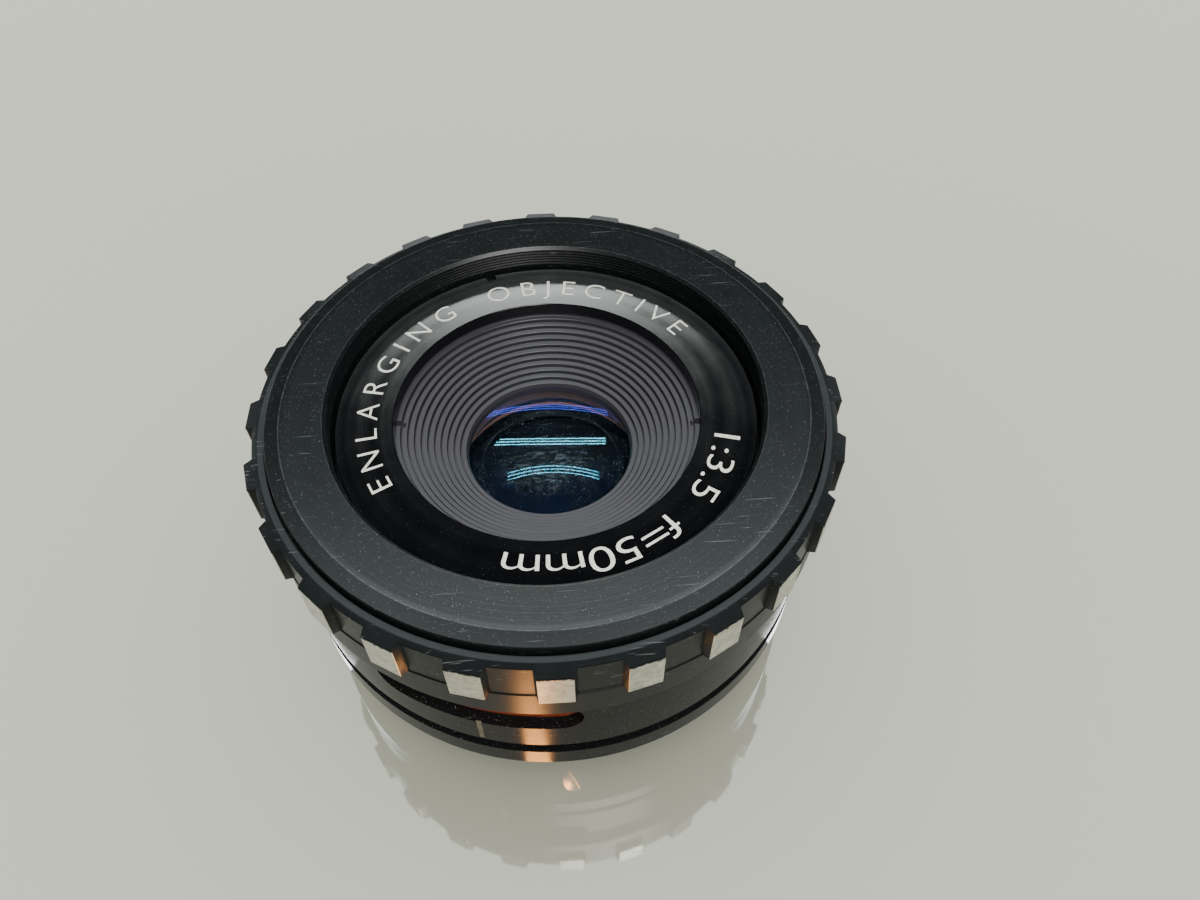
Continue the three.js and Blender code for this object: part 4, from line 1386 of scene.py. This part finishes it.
@dataclass
class SlottedScrew:
    """A cheese-head screw seen from the rear: a domed head with a slot, over a plain shank."""

    name: str
    node: str
    radius: float
    angle: float
    head: float
    head_low: float
    head_high: float
    shank: float
    shank_top: float
    slot: float = 0.3
    slot_depth: float = 0.32
    edge: float = 0.12

    def build(self) -> None:
        """Turns the screw, saws its slot and dresses it."""
        outline: Outline = [
            (0.0, self.head_low), (self.head - self.edge * 2, self.head_low + 0.01),
            (self.head - self.edge * 0.4, self.head_low + self.edge * 0.6),
            (self.head, self.head_low + self.edge * 1.6), (self.head, self.head_high),
            (self.shank, self.head_high), (self.shank, self.shank_top), (0.0, self.shank_top),
        ]
        screw = turn(self.name, outline, 40)
        long, wide = self.head * 1.2, self.slot / 2
        corners = [
            (x * long * MM, y * wide * MM, z * MM)
            for x in (-1, 1) for y in (-1, 1) for z in (self.head_low - 1, self.head_low + self.slot_depth)
        ]
        sides = [[0, 1, 3, 2], [4, 6, 7, 5], [0, 4, 5, 1], [2, 3, 7, 6], [0, 2, 6, 4], [1, 5, 7, 3]]
        saw = finish_mesh("saw", corners, sides)
        saw.data.transform(Matrix.Rotation(math.radians(self.angle * 1.7 + 20), 4, "Z"))
        cut(screw, [saw])
        x, y, _ = polar(self.radius, self.angle, 0.0)
        screw.data.transform(Matrix.Translation(Vector((x, y, 0.0))))
        place(screw, Body.HOUSING, Slot.BRIGHT_STEEL, Finish.STEEL, self.node)


@dataclass
class Rear:
    """What shows in the rear bore: the cell, its threaded ring and the screws."""

    bore: float = 10.2
    groove: float = 10.38
    face: float = 3.0
    outer: float = 11.4
    flange: float = 16.6
    flange_low: float = 5.4
    flange_high: float = 6.6
    ring_bore: float = 7.7
    ring_outer: float = 9.9
    ring_low: float = 3.3
    ring_top: float = 4.6
    seat: float = 4.9

    def cell(self) -> None:
        """Turns the rear cell with fine steps in its bore."""
        outline: Outline = [(self.bore, self.seat), (self.bore, self.ring_top)]
        for i in range(3):
            low = 4.55 - 0.45 * i
            outline += [
                (self.bore, low), (self.groove, low - 0.18), (self.groove, low - 0.22), (self.bore, low - 0.4)
            ]
        outline += [
            (self.bore, 3.05), (10.28, self.face), (11.3, self.face), (self.outer, 3.1),
            (self.outer, self.flange_low), (16.5, self.flange_low), (self.flange, 5.5),
            (self.flange, self.flange_high), (self.outer, self.flange_high), (self.outer, 7.6),
            (self.ring_bore, 7.6), (self.ring_bore, 7.3), (8.9, 7.3), (8.9, self.seat),
        ]
        cell = turn("rear_cell_turned", outline, 200)
        cut(cell, CELL_SCREWS.plugs(0.75, 4.4, 7.2))
        place(cell, Body.HOUSING, Slot.SATIN_BLACK, Finish.MOUNT, "rear_cell")

    def ring(self) -> None:
        """Turns the retaining ring and cuts its two spanner slots."""
        outline: Outline = [
            (self.ring_bore, self.ring_low + 0.12), (self.ring_bore + 0.12, self.ring_low),
            (self.ring_outer - 0.12, self.ring_low), (self.ring_outer, self.ring_low + 0.12),
            (self.ring_outer, self.ring_top), (self.ring_bore, self.ring_top),
        ]
        ring = turn("rear_ring_turned", outline, 160)
        slots = [block_columns(angle - 4.0, angle + 4.0, 2.0, 3.9, 6) for angle in (0.0, 180.0)]
        cut(ring, [arc_slab("slot", 8.8, 11.0, columns) for columns in slots])
        place(ring, Body.HOUSING, Slot.SATIN_BLACK, Finish.MOUNT, "rear_retaining_ring")

    def build(self) -> None:
        """Builds the rear end."""
        self.cell()
        self.ring()
        for i, angles in enumerate(zip(FLANGE_SCREWS.angles(), CELL_SCREWS.angles()), 1):
            low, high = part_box(f"flange_screw_{i}")
            SlottedScrew(
                f"flange_screw_slotted_{i}", f"flange_screw_{i}", FLANGE_SCREWS.radius, angles[0], head=1.1,
                head_low=low.z / MM, head_high=low.z / MM + 1.1, shank=0.45, shank_top=high.z / MM,
            ).build()
            low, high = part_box(f"cell_screw_{i}")
            SlottedScrew(
                f"cell_screw_slotted_{i}", f"cell_screw_{i}", CELL_SCREWS.radius, angles[1], head=1.2,
                head_low=low.z / MM, head_high=5.25, shank=0.6, shank_top=high.z / MM,
            ).build()


class Works(Enum):
    """CAD nodes whose shape is right already, and the finish that each one gets."""

    CORE = ("core_tube", Finish.INNER)
    FRONT_CELL = ("front_cell", Finish.INNER)
    SPACER = ("element_spacer", Finish.WARM)
    BASE = ("iris_base_plate", Finish.BRONZE)
    CAM = ("iris_cam_ring", Finish.BRASS)
    CAM_RETAINER = ("cam_retaining_ring", Finish.BRASS)
    DRIVE = ("drive_screw", Finish.STEEL)
    DRUM = ("scale_drum", Finish.BODY)
    BALL = ("click_ball", Finish.STEEL)
    SPRING = ("click_leaf_spring", Finish.STEEL)
    SPRING_SCREW = ("leaf_spring_screw", Finish.STEEL)
    BLADE_1 = ("iris_blade_1", Finish.BLADE)
    BLADE_2 = ("iris_blade_2", Finish.BLADE)
    BLADE_3 = ("iris_blade_3", Finish.BLADE)
    BLADE_4 = ("iris_blade_4", Finish.BLADE)
    BLADE_5 = ("iris_blade_5", Finish.BLADE)


def dress_works() -> None:
    """Dresses the CAD nodes that stay."""
    for item in Works:
        node, finish = item.value
        paint(frame["nodes"][node], finish)
        log.info("%s: kept, in %s", node, finish.name)


# ---------------------------------------------------------------- studio


@dataclass
class Strip:
    """A long lamp: its place, size, colour and power."""

    name: str
    azimuth: float
    elevation: float
    distance: float
    width: float
    length: float
    colour: RGB
    power: float
    only: Group | None = None
    aim_at: tuple[float, float, float] = (0.0, 0.0, 20.0)
    spread: float = 180.0

    def build(self) -> Piece:
        """Hangs the lamp and points it at the lens.

        Returns:
            The lamp.
        """
        lamp = bpy.data.lights.new(self.name, "AREA")
        lamp.shape = "RECTANGLE"
        lamp.size, lamp.size_y = self.length, self.width
        lamp.color = self.colour
        lamp.energy = self.power
        lamp.spread = math.radians(self.spread)
        holder = bpy.data.objects.new(self.name, lamp)
        bpy.context.scene.collection.objects.link(holder)
        turn_by, rise = math.radians(self.azimuth), math.radians(self.elevation)
        aim = Vector((math.cos(rise) * math.cos(turn_by), math.cos(rise) * math.sin(turn_by), math.sin(rise)))
        side = Vector((-math.sin(turn_by), math.cos(turn_by), 0.0))
        up = aim.cross(side)
        spot = Vector(self.aim_at) * MM + aim * self.distance
        holder.matrix_world = Matrix.Translation(spot) @ Matrix((side, up, aim)).transposed().to_4x4()
        holder.visible_camera = False
        if self.only is not None:
            holder.light_linking.receiver_collection = self.only
        return holder


@dataclass
class BentTubes:
    """Thin lamps side by side, bent so that the front glass shows them as lines through three points.

    The points are x and y in mm on the glass, at the left, the middle and the right.
    """

    name: str
    left: tuple[float, float]
    middle: tuple[float, float]
    right: tuple[float, float]
    colour: RGB
    strength: float
    count: int = 3
    pitch: float = 0.33
    width: float = 0.1
    curve: float = 20.0
    vertex: float = 18.8
    distance: float = 1200.0

    def mirrored(self, x: float, y: float, eye: Vector) -> Vector:
        """Where a lamp stands that the eye sees at x, y on the glass, in metres.

        Args:
            x: place on the glass in mm.
            y: the same, across.
            eye: where it is seen from, in mm.

        Returns:
            The place in metres.
        """
        centre = Vector((0.0, 0.0, self.vertex - self.curve))
        point = Vector((x, y, centre.z + math.sqrt(self.curve**2 - x * x - y * y)))
        normal = (point - centre).normalized()
        sight = (point - eye).normalized()
        return (point + (sight - 2.0 * sight.dot(normal) * normal) * self.distance) * MM

    def build(self, eye: Vector, only: Group, blockers: Group) -> None:
        """Bends the lamps and hangs them, for some pieces only.

        Args:
            eye: where they are seen from, in mm.
            only: the pieces that they light.
            blockers: the pieces that stop their light.
        """
        points, faces = [], []
        knots = (self.left, self.middle, self.right)
        steps = 24
        for row in range(self.count):
            offset = (row - (self.count - 1) / 2) * self.pitch
            for i in range(steps + 1):
                t = 2.0 * i / steps - 1.0
                shares = (t * (t - 1) / 2, 1 - t * t, t * (t + 1) / 2)
                x, y = (sum(w * p[k] for w, p in zip(shares, knots)) for k in (0, 1))
                points += [self.mirrored(x, y + offset + side * self.width / 2, eye) for side in (-1, 1)]
            starts = [2 * (row * (steps + 1) + i) for i in range(steps)]
            faces += [[first, first + 1, first + 3, first + 2] for first in starts]
        mesh = bpy.data.meshes.new(self.name)
        mesh.from_pydata(points, [], faces)
        tubes = bpy.data.objects.new(self.name, mesh)
        bpy.context.scene.collection.objects.link(tubes)
        graph = Graph(self.name)
        glow, both = graph.add("ShaderNodeEmission"), graph.add("ShaderNodeAddShader")
        glow.inputs["Color"].default_value = (*self.colour, 1.0)
        glow.inputs["Strength"].default_value = self.strength
        graph.join(glow.outputs[0], both.inputs[0])
        graph.join(graph.add("ShaderNodeBsdfTransparent").outputs[0], both.inputs[1])
        graph.join(both.outputs[0], graph.output.inputs["Surface"])
        mesh.materials.append(graph.material)
        tubes.visible_camera = False
        tubes.light_linking.receiver_collection = only
        tubes.light_linking.blocker_collection = blockers


@dataclass
class Studio:
    """Camera, floor and lamps."""

    eye: tuple[float, float, float] = (0.0, -52.07, 85.79)
    look: tuple[float, float, float] = (0.05288, 0.60867, -0.79166)
    across: tuple[float, float, float] = (0.99613, -0.08784, -0.00100)
    focal: float = 28.30
    sensor: float = 36.0
    floor_top: float = -0.02
    floor_radius: float = 2500.0
    backdrop_radius: float = 2440.0
    world_colour: RGB = (0.8, 0.86, 0.9)
    world_strength: float = 0.03
    glint_wall: float = 24.0
    glint_height: float = 9.0
    glint_drop: float = 8.7
    glint_distance: float = 0.0084

    def camera(self) -> None:
        """Sets the camera."""
        lens = bpy.data.cameras.new("view")
        lens.lens = self.focal
        lens.sensor_width = self.sensor
        lens.clip_start = 0.001
        lens.clip_end = 20.0
        holder = bpy.data.objects.new("view", lens)
        bpy.context.scene.collection.objects.link(holder)
        forward = Vector(self.look).normalized()
        right = (Vector(self.across) - forward * Vector(self.across).dot(forward)).normalized()
        up = right.cross(forward)
        turned = Matrix((right, up, -forward)).transposed().to_4x4()
        holder.matrix_world = Matrix.Translation(Vector(self.eye) * MM) @ turned
        bpy.context.scene.camera = holder

    def floor(self) -> Piece:
        """Lays the floor, a broad disc with its edge far outside the view.

        Returns:
            The floor.
        """
        top, reach, wall = self.floor_top, self.floor_radius, self.backdrop_radius
        slab = turn("shelf", [(0.0, -30.0), (reach, -30.0), (reach, top), (0.0, top)], 96)
        paint(slab, Finish.SHELF)
        # Painted shade: a thin black disc, in the matt inner black, laid on the floor under the lens so that
        # the floor seen through the glass stays dark.
        shade_below = disc("shade_below", 17.0, top + 0.002, top + 0.008, steps=64)
        paint(shade_below, Finish.INNER)
        section = [(wall, -20.0), (wall + 40.0, -20.0), (wall + 40.0, 1500.0), (wall, 1500.0)]
        backdrop = turn("backdrop", section, 96)
        paint(backdrop, Finish.SHELF)
        backdrop.visible_glossy = backdrop.visible_diffuse = False
        backdrop.visible_transmission = backdrop.visible_shadow = False
        return slab

    def lamps(self, lens: Group, glass: Group, shelf: Group) -> None:
        """Hangs the lamps.

        Args:
            lens: the pieces of the lens.
            glass: its glass elements.
            shelf: the floor.
        """
        world = bpy.data.worlds.new("room")
        world.use_nodes = True
        background = world.node_tree.nodes["Background"]
        background.inputs["Color"].default_value = (*self.world_colour, 1.0)
        background.inputs["Strength"].default_value = self.world_strength
        bpy.context.scene.world = world
        Strip("shelf_light", 90.0, 90.0, 1.6, 40.0, 40.0, (0.99, 1.0, 0.94), 8100.0, shelf).build()
        dull = gather("dull", [o for o in lens.objects if o.name != "name_ring_turned"])
        lit = gather("lit", [*lens.objects, *glass.objects])
        Strip("overhead", 90.0, 72.0, 0.9, 0.22, 0.9, (0.9, 1.0, 1.0), 5.0, dull).build()
        Strip("key", -75.0, 60.0, 0.8, 0.3, 0.3, (1.0, 1.0, 0.97), 5.0, lit).build()
        names = ("name_ring_turned", "ridged_cone", "scale_cover_bent")
        ring, cone, cover = (gather(f"{name}_only", [bpy.data.objects[name]]) for name in names)
        fill = Strip("window_fill", -107.0, 24.0, 0.5, 0.1, 0.1, (1.0, 0.9, 0.8), 1.1, cover)
        fill.build().light_linking.blocker_collection = shelf
        walls = (
            ("ring_wall", 90.0, 33.5, 5.6, ring),
            ("cone_wall", 90.0, 40.0, 2.6, cone),
            ("cone_front", -90.0, 48.0, 9.0, cone),
        )
        for name, azimuth, elevation, power, only in walls:
            wall = Strip(name, azimuth, elevation, 0.9, 0.3, 0.6, (0.93, 1.0, 0.97), power, only)
            wall.build().light_linking.blocker_collection = shelf
        self.tubes(glass, shelf)
        outer = [o for o in dull.objects if o.name not in ("front_ring_turned", "ridged_cone")]
        outside = gather("outside", outer)
        for name, azimuth in (("left_fill", 158.0), ("right_fill", 22.0), ("back_fill", 90.0)):
            Strip(name, azimuth, 22.0, 0.7, 0.3, 0.5, (0.96, 1.0, 1.0), 3.0, outside).build()
        self.glints(lens)

    def tubes(self, glass: Group, shelf: Group) -> None:
        """Hangs the three groups of thin lamps that the front glass shows, for the glass only.

        Args:
            glass: the glass elements.
            shelf: the floor.
        """
        eye = Vector(self.eye)
        for tubes in (
            BentTubes(
                "far_tubes", (-5.74, 5.93), (0.29, 5.6), (5.68, 4.85),
                colour=(0.09, 0.14, 1.0), strength=9.0, distance=0.7,
            ),
            BentTubes(
                "middle_tubes", (-5.16, 1.77), (0.06, 0.84), (5.13, 0.96),
                colour=(0.22, 0.85, 1.0), strength=22.0,
            ),
            BentTubes(
                "near_tubes", (-3.89, -2.41), (0.15, -2.22), (4.18, -2.92),
                colour=(0.16, 0.75, 1.0), strength=15.0,
            ),
        ):
            tubes.build(eye, glass, shelf)

    def glints(self, lens: Group) -> None:
        """Lays small lamps on the floor close to the wall, which it shows as upright streaks.

        Args:
            lens: the pieces of the lens.
        """
        warm, pale = (1.0, 0.4, 0.1), (0.95, 1.0, 1.0)
        for name, azimuth, colour, power in (
            ("warm_glint", -97.0, warm, 0.00095),
            ("left_glint", -155.0, pale, 0.0005),
            ("right_glint", -27.0, pale, 0.0005),
        ):
            wall = Vector(polar(self.glint_wall, azimuth, self.glint_height)) / MM
            sight = (wall - Vector(self.eye)).normalized()
            normal = Vector(polar(1.0, azimuth, 0.0)) / MM
            bounce = sight - 2.0 * sight.dot(normal) * normal
            spot = wall + bounce * (self.glint_drop / -bounce.z)
            heading = math.degrees(math.atan2(bounce.y, bounce.x))
            Strip(
                name, heading, -90.0, self.glint_distance, 0.014, 0.0024, colour, power, lens,
                aim_at=(spot.x, spot.y, self.glint_height), spread=84.0,
            ).build()


def gather(name: str, pieces: list[Piece]) -> Group:
    """Puts pieces in a group of their own, which lamps can be meant for.

    Args:
        name: the group's name.
        pieces: what goes in it.

    Returns:
        The group.
    """
    group = bpy.data.collections.new(name)
    for piece in pieces:
        group.objects.link(piece)
    return group


def main() -> None:
    """Builds every sub-assembly in order, then the studio round them."""
    logging.basicConfig(level=logging.INFO, format="%(message)s")
    FrontPlate().build()
    NameRing().build()
    RidgedCone().build()
    GlassElement("front_glass", "front_element", 9.5, 15.4, 16.4, 15.4, 18.8, Finish.FRONT_GLASS).build()
    GlassElement("middle_glass", "middle_element", 8.4, 12.4, 14.8, 13.1, 14.1, Finish.INNER_GLASS).build()
    GlassElement("rear_glass", "rear_element", 8.6, 5.2, 7.0, 3.94, 8.26, Finish.REAR_GLASS).build()
    ApertureRing().build()
    Barrel().build()
    Mount().build()
    Rear().build()
    dress_works()
    ground = [bpy.data.objects[name] for name in ("front_glass", "middle_glass", "rear_glass")]
    glass = gather("glass", ground)
    lens = gather("lens", [o for o in bpy.data.objects if o.type == "MESH" and o not in ground])
    studio = Studio()
    studio.camera()
    studio.lamps(lens, glass, gather("shelf", [studio.floor()]))


if __name__ == "__main__":
    main()
